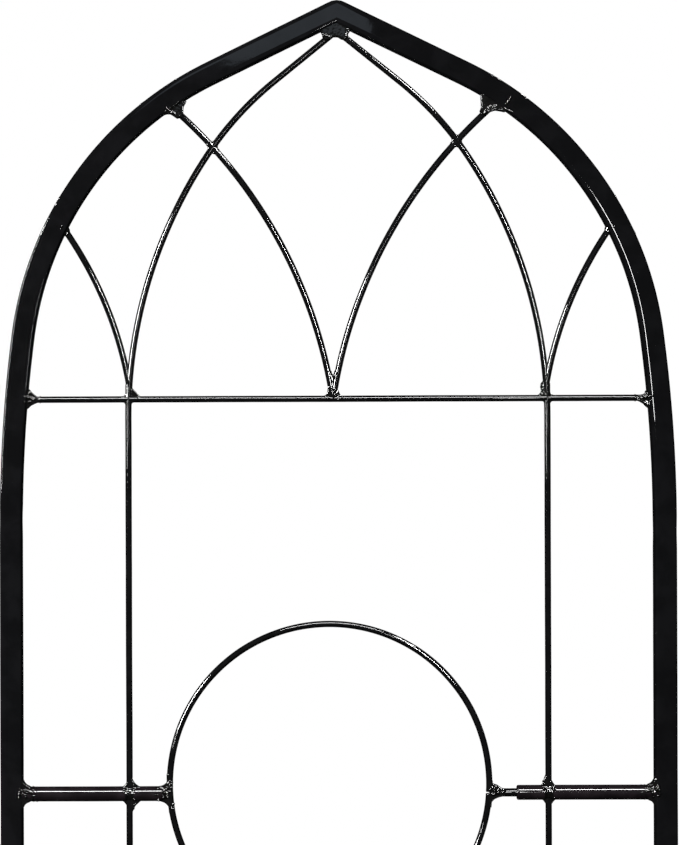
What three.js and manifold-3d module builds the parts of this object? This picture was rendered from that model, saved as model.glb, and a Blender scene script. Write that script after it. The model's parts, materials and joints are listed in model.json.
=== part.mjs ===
// Metal trellis arch: a flat garden panel with a pointed arch top, welded from square tube, round tube
// and rod.
// Millimetres. +X right, +Y to the back, +Z up. The origin is on the ground line, midway between the legs.
import * as THREE from "three";
import { mergeVertices } from "three/addons/utils/BufferGeometryUtils.js";
import Module from "manifold-3d";

const wasm = await Module();
wasm.setup();

// --- Driving dimensions --------------------------------------------------------------------------

const PANEL_WIDTH = 571.5; // over the outer faces of the legs
const TOP_BAR_DROP = 338; // below the point of the arch
const BAR_SPACING = 333; // top bar to cross tubes, to lower bar, to bottom tube
const LEG_LENGTH = 120; // bottom tube to the ground line
const SPIKE_DEPTH = 200; // below the ground line

const FRAME_TUBE = 19; // square tube, outside
const FRAME_CORNER = 2; // its rounded edges
const CROSS_TUBE = 12.7; // round tube, outside
const WALL = 1.2; // of both tubes
const ROD = 5.4; // diameter of the bent rods and thin bars
const LINK_ROD = 7; // diameter of the pin between the right stub and the ring
const SPIKE_ROD = 10; // diameter of the ground spikes

const ARCH_SLOPE = 26; // degrees below level where each side leaves the point
const ARCH_RADIUS = 297; // of the outer edge, round the shoulder
const ARCH_TURN = 56.5; // degrees that the shoulder turns
const LEG_BEND_RADIUS = 1250; // of the slow bend from the shoulder into the leg

const MAIN_ROD_SPREAD = 176.9; // from the middle to each upright rod
const MAIN_ROD_TOP = 27.3; // below the point, where both main rods start
const MAIN_ROD_SLOPE = 39; // degrees below level
const MAIN_ROD_RADII = [274.4, 398.5]; // upper and lower bend
const MAIN_ROD_TURN = 16.65; // degrees that the upper bend turns

const TRACERY_OFFSET = -4; // the shoulder rods are a little left of the middle
const SHOULDER_CENTRE = [406.3, 400.3]; // aside and below the point
const SHOULDER_RADIUS = 410.9;
const SHOULDER_END = 120; // degrees round its arc, well past the frame
const SIDE_CENTRE = [501.3, 382.8];
const SIDE_RADIUS = 330.1;
const SIDE_SPAN = [175, 160, 130]; // degrees round its arc: past the main rod, between the two, past the frame

const RING_RADIUS = 135; // to the middle of its rod
const RING_OFFSET = [-8, 8]; // the ring sits a little left of the middle, and above the cross tubes
const RING_JOINT = 1.2; // open gap between the rod's two ends
const STUB_ENDS = { left: -149, right: 150 }; // where the cross tubes end beside the ring

const ROD_PLANE = -4; // the rods lie behind the frame's front face
const TUBE_PLANE = -(FRAME_TUBE - CROSS_TUBE) / 2; // the cross tubes lie flush with it

const GAP = 0.3; // between pieces that are welded together
const APEX_WELD_HALF = 2.3; // half the width of the weld in the point's mitre
const APEX_GROUND_RADIUS = 17; // the point is ground to this radius

const FILLET_RADIUS = 9; // of the rounded fillet of weld under the point
const FILLET_DROP = 4; // its middle is this much below the frame's underside
const FILLET_DEPTH = 9; // front to back
const LINK_GRIP = 10; // length of the link inside its stub
const PLUG_PLATE = 2; // thickness of the plate under each leg
const PLUG_LENGTH = 25; // of the whole plug
const SPIKE_POINT = 18; // length of each spike's point

const ROD_BEAD = 5.5; // radius of a weld bead round a rod
const FRAME_BEAD = 6.5; // where a shoulder rod meets the frame
const TUBE_BEAD = 8; // round a cross tube

const DEGREES_PER_STEP = 4;
const ROD_SIDES = 10;
const TUBE_SIDES = 12;
const CORNER_SIDES = 2; // facets in each rounded edge of the square tube
const BEAD_SIDES = 10;
const FILLET_SIDES = 20;
const TRACE_SPACING = 1; // between the points tried along a route to find where two of them meet

// --- Derived places ------------------------------------------------------------------------------

const APEX_HEIGHT = TOP_BAR_DROP + 3 * BAR_SPACING + LEG_LENGTH;
const HALF_TUBE = FRAME_TUBE / 2;
const FILLET_TOP = APEX_HEIGHT - FRAME_TUBE;
const FILLET_HEIGHT = FILLET_TOP - FILLET_DROP;
const LEG_INSIDE = PANEL_WIDTH / 2 - FRAME_TUBE;
const TOP_BAR_HEIGHT = APEX_HEIGHT - TOP_BAR_DROP;
const CROSS_TUBE_HEIGHT = TOP_BAR_HEIGHT - BAR_SPACING;
const LOWER_BAR_HEIGHT = CROSS_TUBE_HEIGHT - BAR_SPACING;
const BOTTOM_TUBE_HEIGHT = LOWER_BAR_HEIGHT - BAR_SPACING;
const RING_CENTRE = [RING_OFFSET[0], CROSS_TUBE_HEIGHT + RING_OFFSET[1]];
const SIDES = { left: -1, right: 1 };

const rad = THREE.MathUtils.degToRad;

// --- Routes: straight runs and arcs in the plane of the panel ------------------------------------

// A route is a list of runs, each { from, to }, and arcs, each { centre, radius, start, turn }, in degrees.
// It is stepped so that every step ends on a run's or an arc's own station.
class Route extends THREE.Curve {
  constructor(pieces, plane) {
    super();
    this.plane = plane;
    this.pieces = pieces;
    const arcSteps = (piece) => Math.ceil(Math.abs(piece.turn) / DEGREES_PER_STEP);
    this.steps = pieces.map((piece) => (piece.radius ? arcSteps(piece) : 1));
    this.count = this.steps.reduce((sum, steps) => sum + steps, 0);
  }

  getUtoTmapping(u) {
    return u;
  }

  locate(t) {
    let station = t * this.count;
    let index = 0;
    while (index < this.pieces.length - 1 && station > this.steps[index]) {
      station -= this.steps[index];
      index += 1;
    }
    return [this.pieces[index], station / this.steps[index]];
  }

  getPoint(t, target = new THREE.Vector3()) {
    const [piece, part] = this.locate(t);
    if (!piece.radius) {
      const x = THREE.MathUtils.lerp(piece.from[0], piece.to[0], part);
      const z = THREE.MathUtils.lerp(piece.from[1], piece.to[1], part);
      return target.set(x, this.plane, z);
    }
    const angle = rad(piece.start + piece.turn * part);
    const x = piece.centre[0] + piece.radius * Math.cos(angle);
    const z = piece.centre[1] + piece.radius * Math.sin(angle);
    return target.set(x, this.plane, z);
  }

  getTangent(t, target = new THREE.Vector3()) {
    const [piece, part] = this.locate(t);
    if (!piece.radius) {
      return target.set(piece.to[0] - piece.from[0], 0, piece.to[1] - piece.from[1]).normalize();
    }
    const angle = rad(piece.start + piece.turn * part);
    const way = Math.sign(piece.turn);
    return target.set(-way * Math.sin(angle), 0, way * Math.cos(angle));
  }
}

// A straight route between two points.
function straight(from, to, plane) {
  return new Route([{ from, to }], plane);
}

// One arc about a centre that is aside of and below the point of the arch, on one side of the panel.
function sideArc(side, offset, centre, radius, start, end, plane) {
  const middle = [offset + side * centre[0], APEX_HEIGHT - centre[1]];
  const first = side > 0 ? start : 180 - start;
  return new Route([{ centre: middle, radius, start: first, turn: side * (end - start) }], plane);
}

// A route that starts downwards and outwards at a slope, bends through arcs until it is upright, and ends
// at a height. Each bend is [radius, degrees]. The first run is as long as the final upright needs.
function archRoute(side, top, slope, bends, uprightX, endHeight, plane) {
  let aside = 0;
  let below = 0;
  let angle = slope;
  for (const [radius, turn] of bends) {
    aside += radius * (Math.sin(rad(angle + turn)) - Math.sin(rad(angle)));
    below += radius * (Math.cos(rad(angle)) - Math.cos(rad(angle + turn)));
    angle += turn;
  }
  const run = (uprightX - top[0] - aside) / Math.cos(rad(slope));
  let x = top[0] + run * Math.cos(rad(slope));
  let z = top[1] - run * Math.sin(rad(slope));
  const pieces = [{ from: [side * top[0], top[1]], to: [side * x, z] }];
  angle = slope;
  for (const [radius, turn] of bends) {
    const centre = [x - radius * Math.sin(rad(angle)), z - radius * Math.cos(rad(angle))];
    const start = side > 0 ? 90 - angle : 90 + angle;
    pieces.push({ centre: [side * centre[0], centre[1]], radius, start, turn: -side * turn });
    angle += turn;
    x = centre[0] + radius * Math.sin(rad(angle));
    z = centre[1] + radius * Math.cos(rad(angle));
  }
  pieces.push({ from: [side * x, z], to: [side * x, endHeight] });
  return new Route(pieces, plane);
}

// Points about a millimetre apart along a route.
function trace(route) {
  const points = [];
  for (const piece of route.pieces) {
    const alone = new Route([piece], route.plane);
    const chord = alone.getPoint(0).distanceTo(alone.getPoint(1));
    const length = piece.radius ? piece.radius * rad(Math.abs(piece.turn)) : chord;
    const count = Math.ceil(length / TRACE_SPACING);
    for (let index = 0; index <= count; index += 1) {
      points.push(alone.getPoint(index / count));
    }
  }
  return points;
}

function distanceInPlane(point, others) {
  return Math.min(...others.map((other) => Math.hypot(other.x - point.x, other.z - point.z)));
}

// The angle, between two others, at which a side arc passes nearest to a route.
function meetingAngle(side, offset, centre, radius, first, last, route) {
  const points = trace(sideArc(side, offset, centre, radius, first, last, ROD_PLANE));
  const others = trace(route);
  const distances = points.map((point) => distanceInPlane(point, others));
  const nearest = distances.indexOf(Math.min(...distances));
  return first + ((last - first) * nearest) / (points.length - 1);
}

// The place, from a route's last point backwards, where it first stands clear of another route by a distance.
function comesClear(route, other, distance) {
  const others = trace(other);
  return trace(route).reverse().find((point) => distanceInPlane(point, others) > distance);
}

// --- Sections, and solids made from them ---------------------------------------------------------

function roundSection(diameter, bore = 0) {
  const section = new THREE.Shape();
  section.absarc(0, 0, diameter / 2, 0, 2 * Math.PI);
  if (bore > 0) {
    section.holes.push(new THREE.Path().absarc(0, 0, bore / 2, 0, 2 * Math.PI));
  }
  return section;
}

function squareOutline(path, width, corner) {
  const flat = width / 2 - corner;
  path.moveTo(flat, -flat - corner);
  path.absarc(flat, -flat, corner, -Math.PI / 2, 0);
  path.absarc(flat, flat, corner, 0, Math.PI / 2);
  path.absarc(-flat, flat, corner, Math.PI / 2, Math.PI);
  path.absarc(-flat, -flat, corner, Math.PI, 1.5 * Math.PI);
  return path;
}

function squareSection(width, corner, bore = 0) {
  const section = squareOutline(new THREE.Shape(), width, corner);
  if (bore > 0) {
    section.holes.push(squareOutline(new THREE.Path(), bore, corner - (width - bore) / 2));
  }
  return section;
}

function toSolid(geometry) {
  geometry.deleteAttribute("normal");
  geometry.deleteAttribute("uv");
  const merged = mergeVertices(geometry, 1e-4);
  const vertProperties = new Float32Array(merged.attributes.position.array);
  const triVerts = new Uint32Array(merged.index.array);
  return new wasm.Manifold(new wasm.Mesh({ numProp: 3, vertProperties, triVerts }));
}

function sweep(section, route, sides) {
  const options = { steps: route.count, curveSegments: sides / 2, extrudePath: route };
  return toSolid(new THREE.ExtrudeGeometry(section, options));
}

function rodAlong(route, diameter = ROD, spare = 0) {
  return sweep(roundSection(diameter + 2 * spare), route, ROD_SIDES);
}

function squareTubeAlong(route) {
  return sweep(squareSection(FRAME_TUBE, FRAME_CORNER, FRAME_TUBE - 2 * WALL), route, CORNER_SIDES);
}

function roundTubeAlong(route) {
  return sweep(roundSection(CROSS_TUBE, CROSS_TUBE - 2 * WALL), route, TUBE_SIDES);
}

function block(from, to) {
  const size = to.map((value, axis) => value - from[axis]);
  const geometry = new THREE.BoxGeometry(...size);
  geometry.translate(from[0] + size[0] / 2, from[1] + size[1] / 2, from[2] + size[2] / 2);
  return toSolid(geometry);
}

function cutBy(solid, ...cutters) {
  return cutters.reduce((rest, cutter) => rest.subtract(cutter), solid);
}

// --- The frame -----------------------------------------------------------------------------------

function frameRoute(side) {
  const slope = rad(ARCH_SLOPE);
  const top = [-HALF_TUBE * Math.sin(slope), APEX_HEIGHT - HALF_TUBE * Math.cos(slope)];
  const bends = [
    [ARCH_RADIUS - HALF_TUBE, ARCH_TURN],
    [LEG_BEND_RADIUS - HALF_TUBE, 90 - ARCH_SLOPE - ARCH_TURN],
  ];
  return archRoute(side, top, ARCH_SLOPE, bends, PANEL_WIDTH / 2 - HALF_TUBE, PLUG_PLATE + GAP, 0);
}

function solidFrameSide(side, spare = 0) {
  return sweep(squareSection(FRAME_TUBE + 2 * spare, FRAME_CORNER + spare), frameRoute(side), CORNER_SIDES);
}

// What grinding takes off the point: everything above a round of APEX_GROUND_RADIUS that meets both slopes.
function apexGrinding() {
  const slope = rad(ARCH_SLOPE);
  const reach = APEX_GROUND_RADIUS * Math.tan(slope);
  const centreHeight = APEX_HEIGHT - APEX_GROUND_RADIUS / Math.cos(slope);
  const outline = new THREE.Shape();
  outline.moveTo(reach * Math.cos(slope), APEX_HEIGHT - reach * Math.sin(slope));
  outline.absarc(0, centreHeight, APEX_GROUND_RADIUS, Math.PI / 2 - slope, Math.PI / 2 + slope);
  outline.lineTo(-reach * Math.cos(slope), APEX_HEIGHT + HALF_TUBE);
  outline.lineTo(reach * Math.cos(slope), APEX_HEIGHT + HALF_TUBE);
  const options = { depth: 2 * FRAME_TUBE, bevelEnabled: false, curveSegments: 4 };
  const geometry = new THREE.ExtrudeGeometry(outline, options);
  geometry.rotateX(Math.PI / 2);
  geometry.translate(0, FRAME_TUBE, 0);
  return toSolid(geometry);
}

// All that lies past a distance from the middle on the other side of the panel.
function beyond(side, distance) {
  const [left, right] = [-side * PANEL_WIDTH, side * distance].sort((a, b) => a - b);
  return block([left, -FRAME_TUBE, 0], [right, FRAME_TUBE, APEX_HEIGHT + FRAME_TUBE]);
}

function frameSide(side) {
  const mitre = beyond(side, APEX_WELD_HALF + GAP);
  return cutBy(squareTubeAlong(frameRoute(side)), mitre, apexGrinding());
}

// The weld that fills the mitre, with the fillet below it that both main rods come out of.
function apexWeld() {
  const low = APEX_HEIGHT - 3 * FRAME_TUBE;
  const bothSides = Object.values(SIDES);
  const slab = block([-APEX_WELD_HALF, -FRAME_TUBE, low], [APEX_WELD_HALF, FRAME_TUBE, APEX_HEIGHT]);
  const filled = bothSides.map((side) => solidFrameSide(side)).reduce((a, b) => a.add(b)).intersect(slab);
  const disc = new THREE.CylinderGeometry(FILLET_RADIUS, FILLET_RADIUS, FILLET_DEPTH, FILLET_SIDES);
  disc.translate(0, ROD_PLANE, FILLET_HEIGHT);
  const fillet = cutBy(toSolid(disc), ...bothSides.map((side) => solidFrameSide(side, GAP)));
  const front = ROD_PLANE - FILLET_DEPTH / 2;
  const back = front + FILLET_DEPTH;
  const neck = block([-APEX_WELD_HALF, front, FILLET_HEIGHT], [APEX_WELD_HALF, back, FILLET_TOP]);
  const rods = bothSides.map((side) => rodAlong(mainRodRoute(side), ROD, GAP));
  return cutBy(filled.add(fillet).add(neck), apexGrinding(), ...rods);
}

// --- The bent rods -------------------------------------------------------------------------------

function mainRodRoute(side) {
  const top = [GAP / 2, APEX_HEIGHT - MAIN_ROD_TOP];
  const lastTurn = 90 - MAIN_ROD_SLOPE - MAIN_ROD_TURN;
  const bends = [
    [MAIN_ROD_RADII[0], MAIN_ROD_TURN],
    [MAIN_ROD_RADII[1], lastTurn],
  ];
  const foot = BOTTOM_TUBE_HEIGHT + CROSS_TUBE / 2 + GAP;
  return archRoute(side, top, MAIN_ROD_SLOPE, bends, MAIN_ROD_SPREAD, foot, ROD_PLANE);
}

// The angle at which an arc comes down to a depth below the point of the arch.
function angleAtDrop(centre, radius, drop) {
  return 180 - THREE.MathUtils.radToDeg(Math.asin((centre[1] - drop) / radius));
}

// A shoulder rod's lower length runs from the top bar to the main rod, its upper one from there to the frame.
function shoulderRoute(side, length) {
  const arc = [side, TRACERY_OFFSET, SHOULDER_CENTRE, SHOULDER_RADIUS];
  const foot = angleAtDrop(SHOULDER_CENTRE, SHOULDER_RADIUS, TOP_BAR_DROP);
  const crossing = meetingAngle(...arc, foot, SHOULDER_END, mainRodRoute(side));
  const end = meetingAngle(...arc, crossing, SHOULDER_END, frameRoute(side));
  const span = length === "lower" ? [foot, crossing] : [crossing, end];
  return sideArc(...arc, ...span, ROD_PLANE);
}

function mainRod(side) {
  return cutBy(rodAlong(mainRodRoute(side)), beyond(side, GAP / 2));
}

function shoulderRod(side, length) {
  const rod = rodAlong(shoulderRoute(side, length));
  const main = rodAlong(mainRodRoute(side), ROD, GAP);
  if (length === "upper") {
    return cutBy(rod, main, solidFrameSide(side, GAP));
  }
  const bar = rodAlong(barRoute(TOP_BAR_HEIGHT), ROD, GAP);
  const beside = side > 0 ? [rodAlong(shoulderRoute(SIDES.left, "lower"), ROD, GAP)] : [];
  return cutBy(rod, main, bar, ...beside);
}

function sideRodRoute(side) {
  const arc = [side, 0, SIDE_CENTRE, SIDE_RADIUS];
  const [past, between, end] = SIDE_SPAN;
  const low = meetingAngle(...arc, past, between, mainRodRoute(side));
  const high = meetingAngle(...arc, between, end, frameRoute(side));
  return sideArc(...arc, low, high, ROD_PLANE);
}

function sideRod(side) {
  const main = rodAlong(mainRodRoute(side), ROD, GAP);
  return cutBy(rodAlong(sideRodRoute(side)), main, solidFrameSide(side, GAP));
}

// --- Bars and tubes across the panel -------------------------------------------------------------

// A thin bar between two points aside of the middle, its ends shaped to what it butts against.
function barPiece(height, from, to) {
  const rods = Object.values(SIDES).map((side) => rodAlong(mainRodRoute(side), ROD, GAP));
  const frames = Object.values(SIDES).map((side) => solidFrameSide(side, GAP));
  return cutBy(rodAlong(straight([from, height], [to, height], ROD_PLANE)), ...rods, ...frames);
}

function crossTube(side) {
  const inner = MAIN_ROD_SPREAD + ROD / 2 + GAP;
  const from = [side * inner, CROSS_TUBE_HEIGHT];
  const to = [side * (LEG_INSIDE - GAP), CROSS_TUBE_HEIGHT];
  return roundTubeAlong(straight(from, to, TUBE_PLANE));
}

function crossStub(side, end) {
  const outer = MAIN_ROD_SPREAD - ROD / 2 - GAP;
  return roundTubeAlong(straight([side * outer, CROSS_TUBE_HEIGHT], [end, CROSS_TUBE_HEIGHT], TUBE_PLANE));
}

function bottomTube() {
  const end = LEG_INSIDE - GAP;
  return roundTubeAlong(straight([-end, BOTTOM_TUBE_HEIGHT], [end, BOTTOM_TUBE_HEIGHT], TUBE_PLANE));
}

// --- The ring ------------------------------------------------------------------------------------

// The rod is rolled to a ring whose ends nearly meet where the right link holds it.
function ringRoute() {
  const joint = THREE.MathUtils.radToDeg(Math.asin(RING_OFFSET[1] / RING_RADIUS));
  const open = THREE.MathUtils.radToDeg(RING_JOINT / RING_RADIUS);
  const start = open / 2 - joint;
  return new Route([{ centre: RING_CENTRE, radius: RING_RADIUS, start, turn: 360 - open }], ROD_PLANE);
}

function ring() {
  return rodAlong(ringRoute());
}

function ringLink() {
  const from = [STUB_ENDS.right + LINK_GRIP, CROSS_TUBE_HEIGHT];
  const to = [RING_CENTRE[0] + RING_RADIUS, CROSS_TUBE_HEIGHT];
  const whole = new Route([{ centre: RING_CENTRE, radius: RING_RADIUS, start: 0, turn: 360 }], ROD_PLANE);
  return cutBy(rodAlong(straight(from, to, TUBE_PLANE), LINK_ROD), rodAlong(whole, ROD, GAP));
}

// --- Feet ----------------------------------------------------------------------------------------

// A plug closes each leg: a plate under the tube's end and a block inside it, bored for the ground spike.
function legPlug(side) {
  const x = side * (PANEL_WIDTH / 2 - HALF_TUBE);
  const inside = FRAME_TUBE - 2 * WALL - 2 * GAP;
  const through = straight([x, 0], [x, PLUG_PLATE], 0);
  const plate = sweep(squareSection(FRAME_TUBE, FRAME_CORNER), through, CORNER_SIDES);
  const up = straight([x, PLUG_PLATE / 2], [x, PLUG_LENGTH], 0);
  const core = sweep(squareSection(inside, WALL), up, CORNER_SIDES);
  const bore = rodAlong(straight([x, -1], [x, PLUG_LENGTH + 1], 0), SPIKE_ROD, GAP);
  return cutBy(plate.add(core), bore);
}

function groundSpike(side) {
  const profile = [
    [0, -SPIKE_DEPTH],
    [SPIKE_ROD / 2, SPIKE_POINT - SPIKE_DEPTH],
    [SPIKE_ROD / 2, PLUG_LENGTH],
    [0, PLUG_LENGTH],
  ];
  const points = profile.map(([radius, height]) => new THREE.Vector2(radius, height));
  const geometry = new THREE.LatheGeometry(points, ROD_SIDES);
  geometry.rotateX(Math.PI / 2);
  geometry.translate(side * (PANEL_WIDTH / 2 - HALF_TUBE), 0, 0);
  return toSolid(geometry);
}

// --- Weld beads ----------------------------------------------------------------------------------

function barRoute(height) {
  return straight([-LEG_INSIDE, height], [LEG_INSIDE, height], ROD_PLANE);
}

function tubeRoute(from, to, height = CROSS_TUBE_HEIGHT) {
  return straight([from, height], [to, height], TUBE_PLANE);
}

// Everything that a bead may touch, each thicker by a gap.
function clearances() {
  const bothSides = Object.values(SIDES);
  const rods = [barRoute(TOP_BAR_HEIGHT), barRoute(LOWER_BAR_HEIGHT), ringRoute()];
  for (const side of bothSides) {
    rods.push(mainRodRoute(side), sideRodRoute(side));
    rods.push(shoulderRoute(side, "upper"), shoulderRoute(side, "lower"));
  }
  const tubes = [
    tubeRoute(-LEG_INSIDE, STUB_ENDS.left),
    tubeRoute(STUB_ENDS.right, LEG_INSIDE),
    tubeRoute(-LEG_INSIDE, LEG_INSIDE, BOTTOM_TUBE_HEIGHT),
  ];
  return [
    ...bothSides.map((side) => solidFrameSide(side, GAP)),
    ...rods.map((route) => rodAlong(route, ROD, GAP)),
    ...tubes.map((route) => sweep(roundSection(CROSS_TUBE + 2 * GAP), route, TUBE_SIDES)),
    rodAlong(tubeRoute(RING_CENTRE[0] + RING_RADIUS, STUB_ENDS.right), LINK_ROD, GAP),
  ];
}

// Where each bead sits, and its radius.
function beadPlaces() {
  const places = { foot: [[TRACERY_OFFSET, TOP_BAR_HEIGHT], ROD_BEAD] };
  for (const [name, side] of Object.entries(SIDES)) {
    const frame = frameRoute(side);
    const upper = shoulderRoute(side, "upper");
    const sideRod = sideRodRoute(side);
    const inside = side * LEG_INSIDE;
    const spread = side * MAIN_ROD_SPREAD;
    const shoulder = comesClear(upper, frame, HALF_TUBE);
    const sideTop = comesClear(sideRod, frame, HALF_TUBE);
    const crossing = upper.getPoint(0);
    const bar = straight([0, TOP_BAR_HEIGHT], [inside, TOP_BAR_HEIGHT], ROD_PLANE);
    const barEnd = comesClear(bar, frame, HALF_TUBE);
    const ringX = RING_CENTRE[0] + side * RING_RADIUS;
    places[`shoulder_${name}`] = [[shoulder.x, shoulder.z], FRAME_BEAD];
    places[`side_rod_${name}`] = [[sideTop.x, sideTop.z], ROD_BEAD];
    places[`crossing_${name}`] = [[crossing.x, crossing.z], ROD_BEAD];
    places[`top_bar_end_${name}`] = [[barEnd.x, TOP_BAR_HEIGHT], ROD_BEAD];
    places[`top_bar_${name}`] = [[spread, TOP_BAR_HEIGHT], ROD_BEAD];
    places[`cross_tube_end_${name}`] = [[inside, CROSS_TUBE_HEIGHT], TUBE_BEAD];
    places[`cross_tube_${name}`] = [[spread, CROSS_TUBE_HEIGHT], TUBE_BEAD];
    places[`ring_${name}`] = [[ringX + side * ROD, CROSS_TUBE_HEIGHT], TUBE_BEAD];
    places[`lower_bar_end_${name}`] = [[inside, LOWER_BAR_HEIGHT], ROD_BEAD];
    places[`lower_bar_${name}`] = [[spread, LOWER_BAR_HEIGHT], ROD_BEAD];
    places[`bottom_tube_end_${name}`] = [[inside, BOTTOM_TUBE_HEIGHT], TUBE_BEAD];
    places[`upright_foot_${name}`] = [[spread, BOTTOM_TUBE_HEIGHT + CROSS_TUBE / 2], ROD_BEAD];
  }
  return places;
}

function bead(place, radius, cutters) {
  const ball = new THREE.SphereGeometry(radius, BEAD_SIDES, BEAD_SIDES / 2);
  ball.translate(place[0], radius === TUBE_BEAD ? TUBE_PLANE : ROD_PLANE, place[1]);
  return cutBy(toSolid(ball), ...cutters);
}

// --- The panel, put together ---------------------------------------------------------------------

const framePaint = { color: 0x1d1e21, roughness: 0.3, metalness: 0.0 };
const rodPaint = { color: 0x121213, roughness: 0.2, metalness: 0.0 };
const tubePaint = { color: 0x171516, roughness: 0.22, metalness: 0.0 };
const weldPaint = { color: 0x141414, roughness: 0.25, metalness: 0.0 };

const panel = new THREE.Group();

function addPiece(name, solid, paint) {
  const mesh = solid.getMesh();
  const geometry = new THREE.BufferGeometry();
  geometry.setAttribute("position", new THREE.BufferAttribute(mesh.vertProperties, 3));
  geometry.setIndex(new THREE.BufferAttribute(mesh.triVerts, 1));
  geometry.computeVertexNormals();
  const result = new THREE.Mesh(geometry, new THREE.MeshStandardMaterial(paint));
  result.name = name;
  panel.add(result);
}

addPiece("apex_weld", apexWeld(), framePaint);
addPiece("ring", ring(), rodPaint);
addPiece("ring_link", ringLink(), rodPaint);
addPiece("bottom_tube", bottomTube(), tubePaint);

for (const [name, side] of Object.entries(SIDES)) {
  addPiece(`frame_${name}`, frameSide(side), framePaint);
  addPiece(`main_rod_${name}`, mainRod(side), rodPaint);
  addPiece(`shoulder_rod_upper_${name}`, shoulderRod(side, "upper"), rodPaint);
  addPiece(`shoulder_rod_lower_${name}`, shoulderRod(side, "lower"), rodPaint);
  addPiece(`side_rod_${name}`, sideRod(side), rodPaint);
  addPiece(`cross_tube_${name}`, crossTube(side), tubePaint);
  addPiece(`cross_stub_${name}`, crossStub(side, STUB_ENDS[name]), tubePaint);
  addPiece(`leg_plug_${name}`, legPlug(side), framePaint);
  addPiece(`ground_spike_${name}`, groundSpike(side), rodPaint);
}

for (const [name, height] of Object.entries({ top_bar: TOP_BAR_HEIGHT, lower_bar: LOWER_BAR_HEIGHT })) {
  const leg = LEG_INSIDE + HALF_TUBE;
  addPiece(`${name}_left`, barPiece(height, -leg, -MAIN_ROD_SPREAD), rodPaint);
  addPiece(`${name}_middle`, barPiece(height, -MAIN_ROD_SPREAD, MAIN_ROD_SPREAD), rodPaint);
  addPiece(`${name}_right`, barPiece(height, MAIN_ROD_SPREAD, leg), rodPaint);
}

const cutters = clearances();
for (const [name, [place, radius]] of Object.entries(beadPlaces())) {
  addPiece(`weld_${name}`, bead(place, radius, cutters), weldPaint);
}

export default panel;
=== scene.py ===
"""Looks of a metal trellis arch: a flat garden panel with a pointed arch top, welded from square tube,
round tube and rod and painted gloss black, around its CAD frame. Metres, +X right, +Y back, +Z up."""

import json
import math
import random

import bmesh
import bpy
from mathutils import Matrix, Vector, kdtree, noise

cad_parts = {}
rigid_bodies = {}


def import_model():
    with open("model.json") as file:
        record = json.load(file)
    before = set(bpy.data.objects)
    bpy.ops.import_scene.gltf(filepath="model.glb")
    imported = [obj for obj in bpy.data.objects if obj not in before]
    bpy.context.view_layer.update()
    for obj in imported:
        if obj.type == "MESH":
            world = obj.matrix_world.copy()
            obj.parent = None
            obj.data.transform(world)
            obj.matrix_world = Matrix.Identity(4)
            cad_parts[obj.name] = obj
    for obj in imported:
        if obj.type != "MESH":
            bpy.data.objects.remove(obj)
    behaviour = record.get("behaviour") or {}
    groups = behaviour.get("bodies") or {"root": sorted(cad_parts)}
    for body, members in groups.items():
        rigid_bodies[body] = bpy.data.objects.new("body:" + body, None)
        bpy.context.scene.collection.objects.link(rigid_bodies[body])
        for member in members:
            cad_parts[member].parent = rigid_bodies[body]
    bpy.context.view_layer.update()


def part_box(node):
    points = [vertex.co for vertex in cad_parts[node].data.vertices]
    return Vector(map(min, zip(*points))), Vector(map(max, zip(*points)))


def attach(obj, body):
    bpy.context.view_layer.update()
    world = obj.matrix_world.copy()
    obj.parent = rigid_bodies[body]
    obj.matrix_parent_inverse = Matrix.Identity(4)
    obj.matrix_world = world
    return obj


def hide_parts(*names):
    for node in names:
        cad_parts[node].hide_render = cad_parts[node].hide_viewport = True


bl_info = {
    "name": "Metal Trellis Arch",
    "version": (1, 0, 0),
    "blender": (4, 5, 0),
    "location": "3D View > Sidebar > Trellis",
    "description": "Builds the painted pieces of a welded garden trellis arch around its CAD frame",
    "category": "Object",
}

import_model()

MM = 0.001
FRONT = Vector((0, -1, 0))
SIDES = {"left": -1, "right": 1}
NOISE_SEED = 5  # the same dents in every run


# --- Places that the frame gives ------------------------------------------------------------------


def centre_of(node):
    low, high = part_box(node)
    return (low + high) / 2


def extent_of(node):
    low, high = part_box(node)
    return high - low


TUBE = extent_of("leg_plug_right").x
LEG_X = centre_of("leg_plug_right").x
LEG_INSIDE = LEG_X - TUBE / 2
UPRIGHT_X = centre_of("weld_upright_foot_right").x
ROD_DEPTH = centre_of("ring").y
TUBE_DEPTH = centre_of("bottom_tube").y
TOP_BAR = centre_of("top_bar_left").z
CROSS_TUBE = centre_of("cross_tube_left").z
LOWER_BAR = centre_of("lower_bar_left").z
BOTTOM_TUBE = centre_of("bottom_tube").z
RING_CENTRE = centre_of("ring")
FRAME_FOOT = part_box("frame_right")[0].z
PLATE_TOP = FRAME_FOOT - 0.3 * MM
SPIKE_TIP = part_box("ground_spike_right")[0].z
FRONT_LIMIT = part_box("weld_cross_tube_left")[0].y + 0.05 * MM
STUB_LEFT_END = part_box("cross_stub_left")[1].x
STUB_RIGHT_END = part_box("cross_stub_right")[0].x


# --- Sizes and colours that a user would change ---------------------------------------------------


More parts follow.
